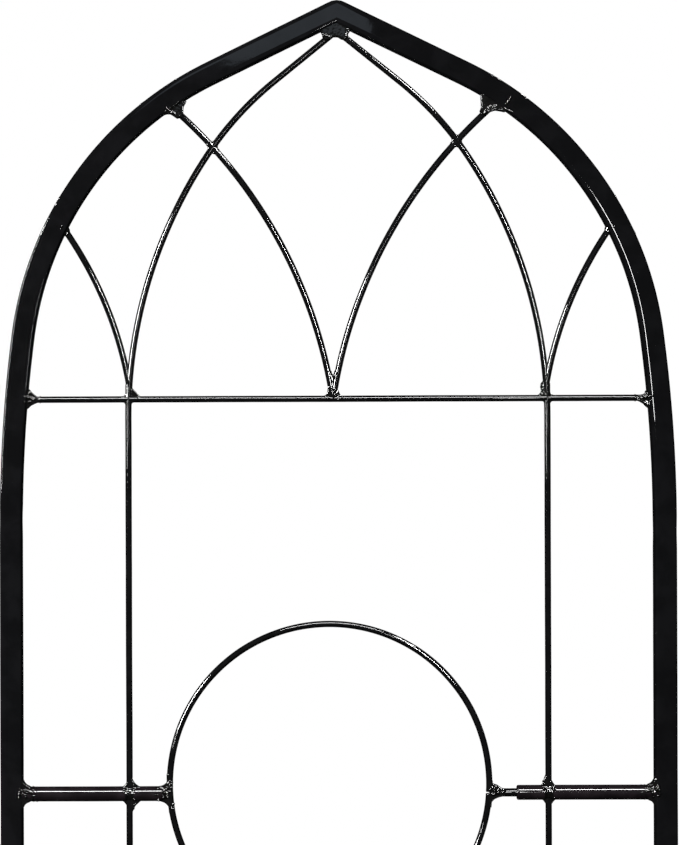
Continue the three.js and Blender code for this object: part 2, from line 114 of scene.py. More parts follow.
class TrellisSizes(bpy.types.PropertyGroup):
    """Sizes of the bends, sections and welds"""

    arch_slope: bpy.props.FloatProperty(
        name="Arch slope",
        description="Angle below level at which each side leaves the point",
        default=math.radians(26),
        subtype="ANGLE",
        unit="ROTATION",
    )
    arch_radius: bpy.props.FloatProperty(
        name="Arch radius",
        description="Radius of the tube's outer edge round the shoulder",
        default=0.297,
        subtype="DISTANCE",
        unit="LENGTH",
    )
    arch_turn: bpy.props.FloatProperty(
        name="Arch turn",
        description="Angle that the shoulder turns",
        default=math.radians(56.5),
        subtype="ANGLE",
        unit="ROTATION",
    )
    leg_bend_radius: bpy.props.FloatProperty(
        name="Leg bend radius",
        description="Radius of the slow bend from the shoulder into the leg",
        default=1.25,
        subtype="DISTANCE",
        unit="LENGTH",
    )
    ground_radius: bpy.props.FloatProperty(
        name="Ground radius",
        description="Radius that the point of the arch is ground to",
        default=0.017,
        subtype="DISTANCE",
        unit="LENGTH",
    )
    frame_corner: bpy.props.FloatProperty(
        name="Frame corner",
        description="Radius of the square tube's rounded edges",
        default=0.002,
        subtype="DISTANCE",
        unit="LENGTH",
    )
    rod: bpy.props.FloatProperty(
        name="Rod",
        description="Diameter of the bent rods and the thin bars",
        default=0.0054,
        subtype="DISTANCE",
        unit="LENGTH",
    )
    round_tube: bpy.props.FloatProperty(
        name="Round tube",
        description="Outside diameter of the cross tubes",
        default=0.0127,
        subtype="DISTANCE",
        unit="LENGTH",
    )
    link_rod: bpy.props.FloatProperty(
        name="Link rod",
        description="Diameter of the pin between the right stub and the ring",
        default=0.007,
        subtype="DISTANCE",
        unit="LENGTH",
    )
    spike_rod: bpy.props.FloatProperty(
        name="Spike rod",
        description="Diameter of the ground spikes",
        default=0.01,
        subtype="DISTANCE",
        unit="LENGTH",
    )
    main_rod_drop: bpy.props.FloatProperty(
        name="Main rod drop",
        description="How far below the point both main rods start",
        default=0.0273,
        subtype="DISTANCE",
        unit="LENGTH",
    )
    main_rod_slope: bpy.props.FloatProperty(
        name="Main rod slope",
        description="Angle below level at which each main rod starts",
        default=math.radians(39),
        subtype="ANGLE",
        unit="ROTATION",
    )
    main_rod_turn: bpy.props.FloatProperty(
        name="Main rod upper turn",
        description="Angle that each main rod's upper bend turns",
        default=math.radians(16.65),
        subtype="ANGLE",
        unit="ROTATION",
    )
    main_rod_radii: bpy.props.FloatVectorProperty(
        name="Main rod radii",
        description="Radii of each main rod's upper and lower bend",
        default=(0.2744, 0.3985),
        size=2,
        subtype="XYZ_LENGTH",
        unit="LENGTH",
    )
    tracery_offset: bpy.props.FloatProperty(
        name="Tracery offset",
        description="How far the shoulder rods sit to the right of the middle",
        default=-0.004,
        subtype="DISTANCE",
        unit="LENGTH",
    )
    shoulder_arc: bpy.props.FloatVectorProperty(
        name="Shoulder arc",
        description="Centre of a shoulder rod's arc, aside of and below the point, and its radius",
        default=(0.4063, 0.4003, 0.4109),
        size=3,
        subtype="XYZ_LENGTH",
        unit="LENGTH",
    )
    side_arc: bpy.props.FloatVectorProperty(
        name="Side arc",
        description="Centre of a side rod's arc, aside of and below the point, and its radius",
        default=(0.5013, 0.3828, 0.3301),
        size=3,
        subtype="XYZ_LENGTH",
        unit="LENGTH",
    )
    ring_gap: bpy.props.FloatProperty(
        name="Ring gap",
        description="Opening between the two ends of the ring's rod",
        default=0.0012,
        subtype="DISTANCE",
        unit="LENGTH",
    )
    weld_grain: bpy.props.FloatProperty(
        name="Weld grain",
        description="Size of the cells that the weld metal is fused in",
        default=0.0004,
        precision=5,
        subtype="DISTANCE",
        unit="LENGTH",
    )


class TrellisPaint(bpy.types.PropertyGroup):
    """Colours and gloss of the paint"""

    # Painted fill light: the frame's black is set lighter than the rods' same paint, standing in for the
    # lamps that light the small pieces but not the frame.
    frame_colour_with_painted_fill: bpy.props.FloatVectorProperty(
        name="Frame colour",
        description="Paint on the square tube",
        default=(0.0105, 0.0105, 0.0118),
        subtype="COLOR",
        min=0.0,
        max=1.0,
    )
    rod_colour: bpy.props.FloatVectorProperty(
        name="Rod colour",
        description="Paint on the rods, the ring and the bars",
        default=(0.0014, 0.0014, 0.0015),
        subtype="COLOR",
        min=0.0,
        max=1.0,
    )
    tube_colour: bpy.props.FloatVectorProperty(
        name="Tube colour",
        description="Paint on the round tubes",
        default=(0.0050, 0.0038, 0.0045),
        subtype="COLOR",
        min=0.0,
        max=1.0,
    )
    weld_colour: bpy.props.FloatVectorProperty(
        name="Weld colour",
        description="Paint on the weld metal",
        default=(0.0018, 0.0018, 0.0017),
        subtype="COLOR",
        min=0.0,
        max=1.0,
    )
    spike_colour: bpy.props.FloatVectorProperty(
        name="Spike colour",
        description="Paint on the plugs and ground spikes",
        default=(0.0080, 0.0080, 0.0080),
        subtype="COLOR",
        min=0.0,
        max=1.0,
    )
    dust_colour: bpy.props.FloatVectorProperty(
        name="Dust colour",
        description="Fine dust and overspray on the paint",
        default=(0.045, 0.044, 0.042),
        subtype="COLOR",
        min=0.0,
        max=1.0,
    )
    roughness: bpy.props.FloatProperty(
        name="Roughness",
        description="Roughness of the cured paint where it is clean",
        default=0.02,
        subtype="FACTOR",
        min=0.0,
        max=1.0,
    )


# --- Routes: a centreline in a plane of the panel -------------------------------------------------


class Route:
    """A start and a heading, then straight runs and bends.

    Headings and turns are in radians, counter-clockwise as seen from the front."""

    def __init__(self, x, z, heading, depth):
        self.start = Vector((x, depth, z))
        self.heading = heading
        self.legs = []

    def run(self, length):
        self.legs.append((length, 0.0))
        return self

    def bend(self, radius, turn):
        self.legs.append((radius * abs(turn), turn))
        return self

    def length(self):
        return sum(length for length, _ in self.legs)

    def at(self, distance):
        """The point and the heading at a distance along the route."""
        point = self.start.copy()
        heading = self.heading
        for length, turn in self.legs:
            part = min(max(distance, 0.0), length)
            distance -= part
            if turn == 0.0:
                point += part * pointing(heading)
            else:
                radius = length / turn
                swept = turn * part / length
                spoke = pointing(heading - math.pi / 2)
                point += radius * (pointing(heading + swept - math.pi / 2) - spoke)
                heading += swept
        return point, heading

    def end(self):
        return self.at(self.length())[0]

    def mirrored(self):
        other = Route(-self.start.x, self.start.z, math.pi - self.heading, self.start.y)
        other.legs = [(length, -turn) for length, turn in self.legs]
        return other

    def part(self, first, last):
        """The stretch of a route of one leg between two distances along it."""
        point, heading = self.at(first)
        whole, turn = self.legs[0]
        piece = Route(point.x, point.z, heading, point.y)
        piece.legs = [(last - first, turn * (last - first) / whole)]
        return piece


def pointing(heading):
    return Vector((math.cos(heading), 0, math.sin(heading)))


def on_side(route, side):
    return route if side > 0 else route.mirrored()


def level(start, end, z, depth):
    """A straight level route between two places aside of the middle."""
    return Route(start, z, 0.0 if end > start else math.pi, depth).run(abs(end - start))


def arch_route(x, z, slope, bends, upright, foot, depth):
    """A route that starts down a slope, bends until it is upright, and ends at the height of its foot."""
    aside = 0.0
    angle = slope
    for radius, turn in bends:
        aside += radius * (math.sin(angle + turn) - math.sin(angle))
        angle += turn
    route = Route(x, z, -slope, depth).run((upright - x - aside) / math.cos(slope))
    for radius, turn in bends:
        route.bend(radius, -turn)
    return route.run(route.end().z - foot)


def apex_height(sizes):
    """Where the frame's outer edges would meet if the point were not ground round."""
    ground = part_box("apex_weld")[1].z
    return ground + sizes.ground_radius * (1 / math.cos(sizes.arch_slope) - 1)


def frame_route(sizes):
    """The right half's centreline. It starts past the middle, where the mitre cuts it."""
    half = TUBE / 2
    slope = sizes.arch_slope
    back = TUBE
    x = -half * math.sin(slope) - back * math.cos(slope)
    z = apex_height(sizes) - half * math.cos(slope) + back * math.sin(slope)
    bends = [
        (sizes.arch_radius - half, sizes.arch_turn),
        (sizes.leg_bend_radius - half, math.pi / 2 - slope - sizes.arch_turn),
    ]
    return arch_route(x, z, slope, bends, LEG_X, FRAME_FOOT, 0.0)


def main_rod_route(sizes):
    top = apex_height(sizes) - sizes.main_rod_drop
    slope = sizes.main_rod_slope
    upper, lower = sizes.main_rod_radii
    bends = [(upper, sizes.main_rod_turn), (lower, math.pi / 2 - slope - sizes.main_rod_turn)]
    foot = BOTTOM_TUBE + sizes.round_tube / 2
    return arch_route(0.0, top, slope, bends, UPRIGHT_X, foot, ROD_DEPTH)


def side_arc(sizes, arc, start, end):
    """An arc on the right of the panel, between two angles round its own centre."""
    aside, below, radius = arc
    z = apex_height(sizes) - below
    heading = start - math.pi / 2
    return Route(
        aside + radius * math.cos(start), z + radius * math.sin(start), heading, ROD_DEPTH
    ).bend(radius, end - start)


def nearest(route, other):
    """How far along a route it passes nearest to another one."""
    step = 0.5 * MM
    count = int(other.length() / step)
    tree = kdtree.KDTree(count + 1)
    for index in range(count + 1):
        tree.insert(other.at(index * step)[0], index)
    tree.balance()
    flat = Vector((1, 0, 1))
    stations = [index * step for index in range(int(route.length() / step) + 1)]
    points = [route.at(station)[0] for station in stations]
    lift = other.start.y
    return min(
        zip(stations, points), key=lambda pair: tree.find(pair[1] * flat + Vector((0, lift, 0)))[2]
    )[0]


def shoulder_arc_route(sizes, side):
    """A whole shoulder rod, from the top bar to past the frame, and where it crosses the main rod and
    reaches the frame's centreline."""
    aside, below, radius = sizes.shoulder_arc
    drop = apex_height(sizes) - TOP_BAR
    foot = math.pi - math.asin((below - drop) / radius)
    whole = side_arc(sizes, sizes.shoulder_arc, foot, math.radians(125))
    whole.start.x += side * sizes.tracery_offset
    return whole, nearest(whole, main_rod_route(sizes)), nearest(whole, frame_route(sizes))


def side_rod_route(sizes):
    """A side rod, from where it is nearest to the main rod to the frame's centreline."""
    past, between, beyond = (math.radians(angle) for angle in (175, 160, 130))
    low = side_arc(sizes, sizes.side_arc, past, between)
    high = side_arc(sizes, sizes.side_arc, between, beyond)
    foot = nearest(low, main_rod_route(sizes))
    top = nearest(high, frame_route(sizes))
    whole = side_arc(sizes, sizes.side_arc, past, beyond)
    return whole.part(foot, low.length() + top)


# --- Mesh tools -----------------------------------------------------------------------------------


def across(route):
    """The matrix that lays a section square to a route's start."""
    forward = pointing(route.heading)
    side = forward.cross(FRONT)
    turn = Matrix((FRONT, side, forward)).transposed().to_4x4()
    return Matrix.Translation(route.start) @ turn


def round_section(bm, diameter, place, sides=24):
    bmesh.ops.create_circle(bm, cap_ends=True, segments=sides, radius=diameter / 2, matrix=place)


def square_section(bm, width, corner, place):
    """A square with rounded corners, its flats divided so that they can carry slight dents."""
    quarter_turn = Matrix.Rotation(math.pi / 4, 4, "Z")
    radius = width / math.sqrt(2)
    bmesh.ops.create_circle(bm, cap_ends=True, segments=4, radius=radius, matrix=place @ quarter_turn)
    bmesh.ops.bevel(
        bm,
        geom=bm.verts[:],
        offset=corner,
        offset_type="OFFSET",
        segments=5,
        profile=0.5,
        affect="VERTICES",
        material=-1,
    )
    flats = [edge for edge in bm.edges if edge.calc_length() > corner]
    bmesh.ops.subdivide_edges(bm, edges=flats, cuts=5, use_grid_fill=False)


def sweep_section(bm, route, spacing):
    """Carries the section in bm along a route and closes its far end."""
    edges = bm.edges[:]
    travelled = 0.0
    for length, turn in route.legs:
        point, heading = route.at(travelled)
        steps = max(1, math.ceil(length / spacing))
        centre = point
        stride = pointing(heading) * (length / steps)
        if turn != 0.0:
            centre = point + (length / turn) * pointing(heading + math.pi / 2)
            stride = Vector()
        swept = bmesh.ops.spin(
            bm,
            geom=edges,
            cent=centre,
            axis=FRONT,
            dvec=stride,
            angle=turn,
            steps=steps,
            use_merge=False,
            use_normal_flip=False,
            use_duplicate=False,
        )
        edges = [item for item in swept["geom_last"] if isinstance(item, bmesh.types.BMEdge)]
        travelled += length
    bmesh.ops.edgeloop_fill(bm, edges=edges)
    bmesh.ops.recalc_face_normals(bm, faces=bm.faces[:])


def rod_along(route, diameter, spacing=2.5 * MM, sides=24):
    bm = bmesh.new()
    round_section(bm, diameter, across(route), sides)
    sweep_section(bm, route, spacing)
    return bm


def soften_ends(bm, amount, segments=3):
    """Rounds the rims of a swept piece's flat ends."""
    rims = [
        edge
        for edge in bm.edges
        if len(edge.link_faces) == 2 and any(len(face.verts) > 8 for face in edge.link_faces)
    ]
    bmesh.ops.bevel(
        bm,
        geom=rims,
        offset=amount,
        offset_type="OFFSET",
        segments=segments,
        profile=0.5,
        affect="EDGES",
        clamp_overlap=True,
        material=-1,
    )


def waver(bm, dent, dent_size=9 * MM):
    """The slight unevenness of bending and rolling: a slow drift, the same for all pieces, and dents."""
    for vert in bm.verts:
        drift = noise.noise_vector(vert.co / (70 * MM)) * (0.10 * MM)
        dents = noise.noise_vector(vert.co / dent_size) * dent
        vert.co += drift + dents


def cut_at_middle(bm, side, distance=0.0):
    """Removes what lies past the middle of the panel and closes the cut."""
    bmesh.ops.bisect_plane(
        bm,
        geom=bm.verts[:] + bm.edges[:] + bm.faces[:],
        dist=1e-6,
        plane_co=(side * distance, 0, 0),
        plane_no=(-side, 0, 0),
        clear_outer=True,
    )
    open_edges = [edge for edge in bm.edges if edge.is_boundary]
    bmesh.ops.holes_fill(bm, edges=open_edges, sides=0)
    bmesh.ops.recalc_face_normals(bm, faces=bm.faces[:])


def fused(bm, grain, passes):
    """The same metal as one skin: overlapping shells are joined and softened."""
    mesh = bpy.data.meshes.new("weld_pool")
    bm.to_mesh(mesh)
    bm.free()
    pool = bpy.data.objects.new("weld_pool", mesh)
    bpy.context.scene.collection.objects.link(pool)
    remesh = pool.modifiers.new("join", "REMESH")
    remesh.mode = "VOXEL"
    remesh.voxel_size = grain
    smooth = pool.modifiers.new("soften", "SMOOTH")
    smooth.factor = 0.5
    smooth.iterations = passes
    bpy.context.view_layer.update()
    graph = bpy.context.evaluated_depsgraph_get()
    result = bpy.data.meshes.new_from_object(pool.evaluated_get(graph))
    bpy.data.objects.remove(pool)
    bpy.data.meshes.remove(mesh)
    joined = bmesh.new()
    joined.from_mesh(result)
    bpy.data.meshes.remove(result)
    return joined


def add_piece(node, bm, finish, sharp=math.radians(50)):
    """Makes the painted piece that stands for a CAD node."""
    mesh = bpy.data.meshes.new("painted_" + node)
    bm.to_mesh(mesh)
    bm.free()
    mesh.materials.append(finish)
    mesh.polygons.foreach_set("use_smooth", [True] * len(mesh.polygons))
    mesh.set_sharp_from_angle(angle=sharp)
    piece = bpy.data.objects.new("painted_" + node, mesh)
    bpy.context.scene.collection.objects.link(piece)
    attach(piece, "root")
    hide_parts(node)


# --- Paint ----------------------------------------------------------------------------------------


class Value:
    """A shader value. Sums on it add Math nodes."""

    def __init__(self, tree, socket):
        self.tree = tree
        self.socket = socket

    def calculate(self, operation, first, second):
        math_node = self.tree.nodes.new("ShaderNodeMath")
        math_node.operation = operation
        for socket, value in zip(math_node.inputs, (first, second)):
            if isinstance(value, Value):
                self.tree.links.new(value.socket, socket)
            else:
                socket.default_value = value
        return Value(self.tree, math_node.outputs[0])

    def __add__(self, other):
        return self.calculate("ADD", self, other)

    def __radd__(self, other):
        return self.calculate("ADD", other, self)

    def __mul__(self, other):
        return self.calculate("MULTIPLY", self, other)

    def __rmul__(self, other):
        return self.calculate("MULTIPLY", other, self)


class Finish:
    """A material under construction."""

    def __init__(self, name):
        self.material = bpy.data.materials.new(name)
        self.material.use_nodes = True
        self.tree = self.material.node_tree
        self.tree.nodes.clear()
        self.place = self.node("ShaderNodeTexCoord", {}, {}, "Object")

    def node(self, kind, settings, sockets, output=None):
        """Adds a node. Sockets are named by their identifiers; an output of None gives the first one."""
        made = self.tree.nodes.new(kind)
        for name, value in settings.items():
            setattr(made, name, value)
        by_name = {socket.identifier: socket for socket in made.inputs}
        for name, value in sockets.items():
            if isinstance(value, Value):
                self.tree.links.new(value.socket, by_name[name])
            else:
                by_name[name].default_value = value
        if not made.outputs:
            return None
        if output is None:
            return Value(self.tree, made.outputs[0])
        results = {socket.identifier: socket for socket in made.outputs}
        return Value(self.tree, results[output])

    def mottle(self, size, detail, distortion=0.0):
        """Cloudy noise from 0 to 1 whose patches are about a size in metres."""
        sockets = {
            "Vector": self.place,
            "Scale": 1 / size,
            "Detail": detail,
            "Roughness": 0.55,
            "Distortion": distortion,
        }
        return self.node("ShaderNodeTexNoise", {"noise_dimensions": "3D"}, sockets)

    def between(self, value, low, high, start=0.0, end=1.0):
        """Eases a value from start to end as it goes from low to high."""
        sockets = {"Value": value, "From Min": low, "From Max": high, "To Min": start, "To Max": end}
        settings = {"interpolation_type": "SMOOTHSTEP"}
        return self.node("ShaderNodeMapRange", settings, sockets)

    def blend(self, factor, first, second):
        sockets = {"Factor_Float": factor, "A_Color": first, "B_Color": second}
        settings = {"data_type": "RGBA", "blend_type": "MIX"}
        return self.node("ShaderNodeMix", settings, sockets, "Result_Color")

    def bump(self, height, distance, normal=None):
        sockets = {"Height": height, "Distance": distance, "Strength": 1.0}
        if normal is not None:
            sockets["Normal"] = normal
        return self.node("ShaderNodeBump", {}, sockets)


def opaque(colour, scale=1.0):
    return (*(channel * scale for channel in colour), 1.0)


def paint_finish(name, paint, colour, cloud_size, dust, peel, wave, rough):
    """Gloss black paint: cloudy thickness, dust caught in it, orange peel and slow waves."""
    finish = Finish(name)
    clouds = finish.mottle(cloud_size, 4.0, distortion=0.4)
    broad = finish.between(clouds, 0.35, 0.68)
    thickness = finish.blend(broad, opaque(colour, 0.72), opaque(colour, 1.38))
    grains = finish.between(finish.mottle(1.1 * MM, 1.0), 0.76 - dust, 0.82 - dust)
    drifts = finish.between(finish.mottle(34 * MM, 5.0), 0.50, 0.72)
    specks = grains * (0.25 + 0.75 * drifts)
    shade = finish.blend(specks * 0.8, thickness, opaque(paint.dust_colour))
    rubbed = finish.between(finish.mottle(15 * MM, 6.0, distortion=1.2), 0.52, 0.75)
    scatter = paint.roughness + rough + 0.005 * broad + 0.02 * rubbed + 0.2 * specks
    slow = finish.bump(finish.mottle(13 * MM, 1.0), wave)
    fine = finish.bump(finish.mottle(2.2 * MM, 1.0), peel, slow)
    surface = finish.node(
        "ShaderNodeBsdfPrincipled",
        {},
        {
            "Base Color": shade,
            "Roughness": scatter,
            "Normal": fine,
            "IOR": 1.5,
            "Coat Weight": finish.between(rubbed, 0.0, 1.0, 0.20, 0.05),
            "Coat Roughness": 0.02,
        },
    )
    finish.node("ShaderNodeOutputMaterial", {}, {"Surface": surface})
    return finish.material


def frame_finish(paint):
    # The frame's base colour carries painted fill light on top of the paint's own black.
    peel, wave = 0.0015 * MM, 0.015 * MM
    return paint_finish("frame_paint", paint, paint.frame_colour_with_painted_fill, 22 * MM, 0.0, peel, wave, rough=0.0)


def rod_finish(paint):
    peel, wave = 0.0004 * MM, 0.008 * MM
    return paint_finish("rod_paint", paint, paint.rod_colour, 12 * MM, -0.02, peel, wave, rough=0.03)


def tube_finish(paint):
    peel, wave = 0.0004 * MM, 0.01 * MM
    return paint_finish("tube_paint", paint, paint.tube_colour, 16 * MM, -0.01, peel, wave, rough=0.035)


def weld_finish(paint):
    peel, wave = 0.002 * MM, 0.02 * MM
    return paint_finish("weld_paint", paint, paint.weld_colour, 5 * MM, 0.01, peel, wave, rough=0.02)


def spike_finish(paint):
    peel, wave = 0.012 * MM, 0.04 * MM
    return paint_finish("spike_paint", paint, paint.spike_colour, 18 * MM, 0.04, peel, wave, rough=0.12)


# --- The frame ------------------------------------------------------------------------------------


def grind_point(bm, sizes):
    """Lowers whatever stands above the round that the point of the arch is ground to."""
    radius = sizes.ground_radius
    reach = radius * math.sin(sizes.arch_slope)
    middle = apex_height(sizes) - radius / math.cos(sizes.arch_slope)
    for vert in bm.verts:
        if abs(vert.co.x) < reach:
            ceiling = middle + math.sqrt(radius**2 - vert.co.x**2)
            vert.co.z = min(vert.co.z, ceiling)


def swell(bm, route, station, reach, amount):
    """Bulges a tube's walls around a station along its route, as at the end of a bend."""
    centre, heading = route.at(station)
    forward = pointing(heading)
    for vert in bm.verts:
        along = (vert.co - centre).dot(forward)
        if abs(along) < reach and (vert.co - centre).length < 2 * TUBE + reach:
            out = vert.co - centre - along * forward
            share = math.cos(along / reach * math.pi / 2) ** 2
            vert.co += out.normalized() * amount * share


def frame_half(sizes, side):
    """One half of the frame, cut at the mitre, a hair shy of its CAD faces so that its dents fit."""
    shy = 0.15 * MM
    bm = bmesh.new()
    route = on_side(frame_route(sizes), side)
    square_section(bm, TUBE - 2 * shy, sizes.frame_corner, across(route))
    sweep_section(bm, route, 4 * MM)
    cut_at_middle(bm, side)
    straight_from = route.length() - route.legs[-1][0]
    pinch = -0.25 * MM
    swell(bm, route, straight_from + side * 6 * MM, 16 * MM, pinch)
    waver(bm, 0.02 * MM, 24 * MM)
    grind_point(bm, sizes)
    return bm


class WeldMetal:
    """The metal of one weld. Stubs of the joined pieces stay hidden inside them, lumps and fillets show,
    and rows of small drops make its ripples. Places are aside of and above its joint."""

    def __init__(self, x, z, seed, depth=ROD_DEPTH):
        self.place = Vector((x, depth, z))
        self.core = bmesh.new()
        self.drops = []
        self.chance = random.Random(seed)

    def point(self, aside, above, forward=0.0):
        return self.place + Vector((aside, -forward, above))

    def stub(self, heading, diameter, length, aside=0.0, above=0.0, forward=0.0):
        """A length of round rod or tube that leaves the joint at a heading."""
        direction = pointing(heading)
        turn = direction.to_track_quat("Z", "Y").to_matrix().to_4x4()
        middle = self.point(aside, above, forward) + direction * length / 2
        bmesh.ops.create_cone(
            self.core,
            cap_ends=True,
            segments=24,
            radius1=diameter / 2,
            radius2=diameter / 2,
            depth=length,
            matrix=Matrix.Translation(middle) @ turn,
        )
        return self

    def wall(self, heading, aside, above, length, thickness, height):
        """A flat block along a heading, as of the frame's tube, whose middle is at a place."""
        turn = pointing(heading).to_track_quat("X", "Z").to_matrix().to_4x4()
        middle = self.point(aside, above)
        middle.y = 0.0
        size = Matrix.Diagonal((length, height, thickness, 1))
        bmesh.ops.create_cube(self.core, size=1.0, matrix=Matrix.Translation(middle) @ turn @ size)
        return self

    def lump(self, aside, above, wide, high, deep, forward=0.0):
        """A rounded heap of metal, given by its half sizes."""
        size = Matrix.Diagonal((wide, deep, high, 1))
        place = Matrix.Translation(self.point(aside, above, forward)) @ size
        bmesh.ops.create_icosphere(self.core, subdivisions=3, radius=1.0, matrix=place)
        return self

    def plate(self, outline, thick, forward=0.0):
        """A gusset of weld: an outline in millimetres aside and above, as thick as asked."""
        back = forward - thick / 2
        verts = [self.core.verts.new(self.point(x * MM, z * MM, back)) for x, z in outline]
        face = self.core.faces.new(verts)
        grown = bmesh.ops.extrude_face_region(self.core, geom=[face])
        moved = [item for item in grown["geom"] if isinstance(item, bmesh.types.BMVert)]
        bmesh.ops.translate(self.core, verts=moved, vec=FRONT * thick)
        return self

    def web(self, first, second, first_half, second_half, reach, thick):
        """A fillet in the corner between two pieces, given by their headings and half widths. A second
        half width of zero stands for a wall."""
        u, v = pointing(first), pointing(second)
        slant = abs(u.cross(v).length)
        corner = (second_half * u + first_half * v) / slant
        along_u, along_v = corner.dot(u), corner.dot(v)
        cover = 0.85
        hollow = 0.30
        rim_u = (v - v.dot(u) * u).normalized() * first_half * cover
        rim_v = (u - u.dot(v) * v).normalized() * second_half * cover
        far_u, far_v = along_u + reach, along_v + reach
        middle = corner + (u + v).normalized() * reach * hollow
        outline = [Vector(), u * far_u, u * far_u + rim_u, middle, v * far_v + rim_v, v * far_v]
        if second_half == 0.0:
            outline.pop(4)
        return self.plate([(place.x / MM, place.z / MM) for place in outline], thick)

    def dots(self, places, radius=1.15 * MM):
        """Single drops, in millimetres aside, above and forward."""
        for aside, above, forward in places:
            self.drop(self.point(aside * MM, above * MM, forward * MM), radius)
        return self

    def row(self, start, end, radius):
        """A row of drops between two places, each aside, above and forward."""
        first, last = self.point(*start), self.point(*end)
        spacing = radius * 1.15
        count = max(1, round((last - first).length / spacing))
        for index in range(count + 1):
            self.drop(first.lerp(last, index / count), radius)
        return self

    def drop(self, point, radius):
        shake = Vector(self.chance.uniform(-0.22, 0.22) * radius for _ in range(3))
        self.drops.append((point + shake, radius * self.chance.uniform(0.85, 1.15)))

    def collar(self, heading, distance, round_radius, radius):
        """A ring of drops round a piece that leaves the joint at a heading."""
        direction = pointing(heading)
        side = direction.cross(FRONT)
        middle = self.place + direction * distance
        count = max(6, round(2 * math.pi * round_radius / (radius * 1.2)))
        for index in range(count):
            angle = 2 * math.pi * index / count
            offset = (math.cos(angle) * FRONT + math.sin(angle) * side) * round_radius
            self.drop(middle + offset, radius)
        return self

    def finish(self, grain, passes=26, ripple_passes=5, roughen=0.05 * MM):
        bm = fused(self.core, grain, passes)
        if self.drops:
            for point, radius in self.drops:
                bmesh.ops.create_icosphere(
                    bm, subdivisions=2, radius=radius, matrix=Matrix.Translation(point)
                )
            bm = fused(bm, grain * 0.85, ripple_passes)
        bm.normal_update()
        for vert in bm.verts:
            vert.co += vert.normal * noise.noise(vert.co / (1.7 * MM)) * roughen
        waver(bm, 0.0)
        for vert in bm.verts:
            vert.co.y = max(vert.co.y, FRONT_LIMIT)
        return bm


def apex_metal(sizes):
    """The weld in the point's mitre, and the fillet under it that both main rods come out of."""
    skin = 0.02 * MM
    half = 4.5 * MM
    core = bmesh.new()
    for side in SIDES.values():
        tube = bmesh.new()
        route = on_side(frame_route(sizes), side)
        route.legs = [(3 * TUBE, 0.0)]
        square_section(tube, TUBE - 2 * skin, sizes.frame_corner, across(route))
        sweep_section(tube, route, 4 * MM)
        cut_at_middle(tube, side)
        cut_at_middle(tube, -side, half)
        mesh = bpy.data.meshes.new("half_mitre")
        tube.to_mesh(mesh)
        tube.free()
        core.from_mesh(mesh)
        bpy.data.meshes.remove(mesh)
    metal = WeldMetal(0.0, apex_height(sizes) - sizes.main_rod_drop, "apex")
    metal.core.free()
    metal.core = core
    slope = sizes.main_rod_slope
    for heading in (-slope, math.pi + slope):
        metal.stub(heading, sizes.rod * 0.97, 20 * MM)
    fillet = [
        (-15.5, 2.0), (-12.6, -2.6), (-12.0, -5.4), (-9.6, -8.0), (-6.6, -7.6), (-3.2, -5.4),
        (1.0, -5.4), (3.6, -7.2), (7.0, -8.0), (9.4, -5.6), (9.8, -2.6), (12.0, 0.5), (0.0, 8.0),
    ]
    metal.plate(fillet, 7.4 * MM, 0.1 * MM)
    metal.dots([(-11.5, -4.6, 3.6), (-10.0, -4.0, 4.0), (-8.6, -4.2, 4.0), (-7.4, -5.0, 3.6)], 1.0 * MM)
    metal.dots([(8.4, -3.0, 3.6), (7.2, -4.6, 3.4), (6.6, -6.2, 3.0)], 1.0 * MM)
    bm = metal.finish(sizes.weld_grain, passes=12, ripple_passes=6, roughen=0.03 * MM)
    grind_point(bm, sizes)
    return bm


class TRELLIS_OT_frame(bpy.types.Operator):
    """Both halves of the square tube frame, and the weld and fillet at its point"""

    bl_idname = "trellis.frame"
    bl_label = "Frame"

    def execute(self, context):
        sizes = context.scene.trellis_sizes
        finish = frame_finish(context.scene.trellis_paint)
        for name, side in SIDES.items():
            add_piece(f"frame_{name}", frame_half(sizes, side), finish)
        weld = weld_finish(context.scene.trellis_paint)
        add_piece("apex_weld", apex_metal(sizes), weld)
        return {"FINISHED"}


# --- Rods, bars and ring --------------------------------------------------------------------------


class TRELLIS_OT_rods(bpy.types.Operator):
    """The bent rods: two main rods, two shoulder rods in two lengths each, and two side rods"""

    bl_idname = "trellis.rods"
    bl_label = "Bent rods"

    def execute(self, context):
        sizes = context.scene.trellis_sizes
        finish = rod_finish(context.scene.trellis_paint)
        buried = 0.8 * MM
        for name, side in SIDES.items():
            whole, crossing, end = shoulder_arc_route(sizes, side)
            lower_start = 1.5 * MM if side < 0 else 9 * MM
            routes = {
                "main_rod": main_rod_route(sizes),
                "shoulder_rod_lower": whole.part(lower_start, crossing - buried),
                "shoulder_rod_upper": whole.part(crossing + buried, end),
                "side_rod": side_rod_route(sizes),
            }
            for piece, route in routes.items():
                bm = rod_along(on_side(route, side), sizes.rod)
                waver(bm, 0.04 * MM, 24 * MM)
                add_piece(f"{piece}_{name}", bm, finish)
        return {"FINISHED"}


class TRELLIS_OT_bars(bpy.types.Operator):
    """The thin bars across the panel, each in three lengths between the main rods and the legs"""

    bl_idname = "trellis.bars"
    bl_label = "Thin bars"

    def execute(self, context):
        sizes = context.scene.trellis_sizes
        finish = rod_finish(context.scene.trellis_paint)
        buried = 2 * MM
        stops = {
            "left": (-LEG_INSIDE - buried, -UPRIGHT_X - 0.8 * MM),
            "middle": (-UPRIGHT_X + 0.8 * MM, UPRIGHT_X - 0.8 * MM),
            "right": (UPRIGHT_X + 0.8 * MM, LEG_INSIDE + buried),
        }
        for bar, height in {"top_bar": TOP_BAR, "lower_bar": LOWER_BAR}.items():
            for name, (start, end) in stops.items():
                bm = rod_along(level(start, end, height, ROD_DEPTH), sizes.rod)
                waver(bm, 0.04 * MM, 24 * MM)
                add_piece(f"{bar}_{name}", bm, finish)
        return {"FINISHED"}


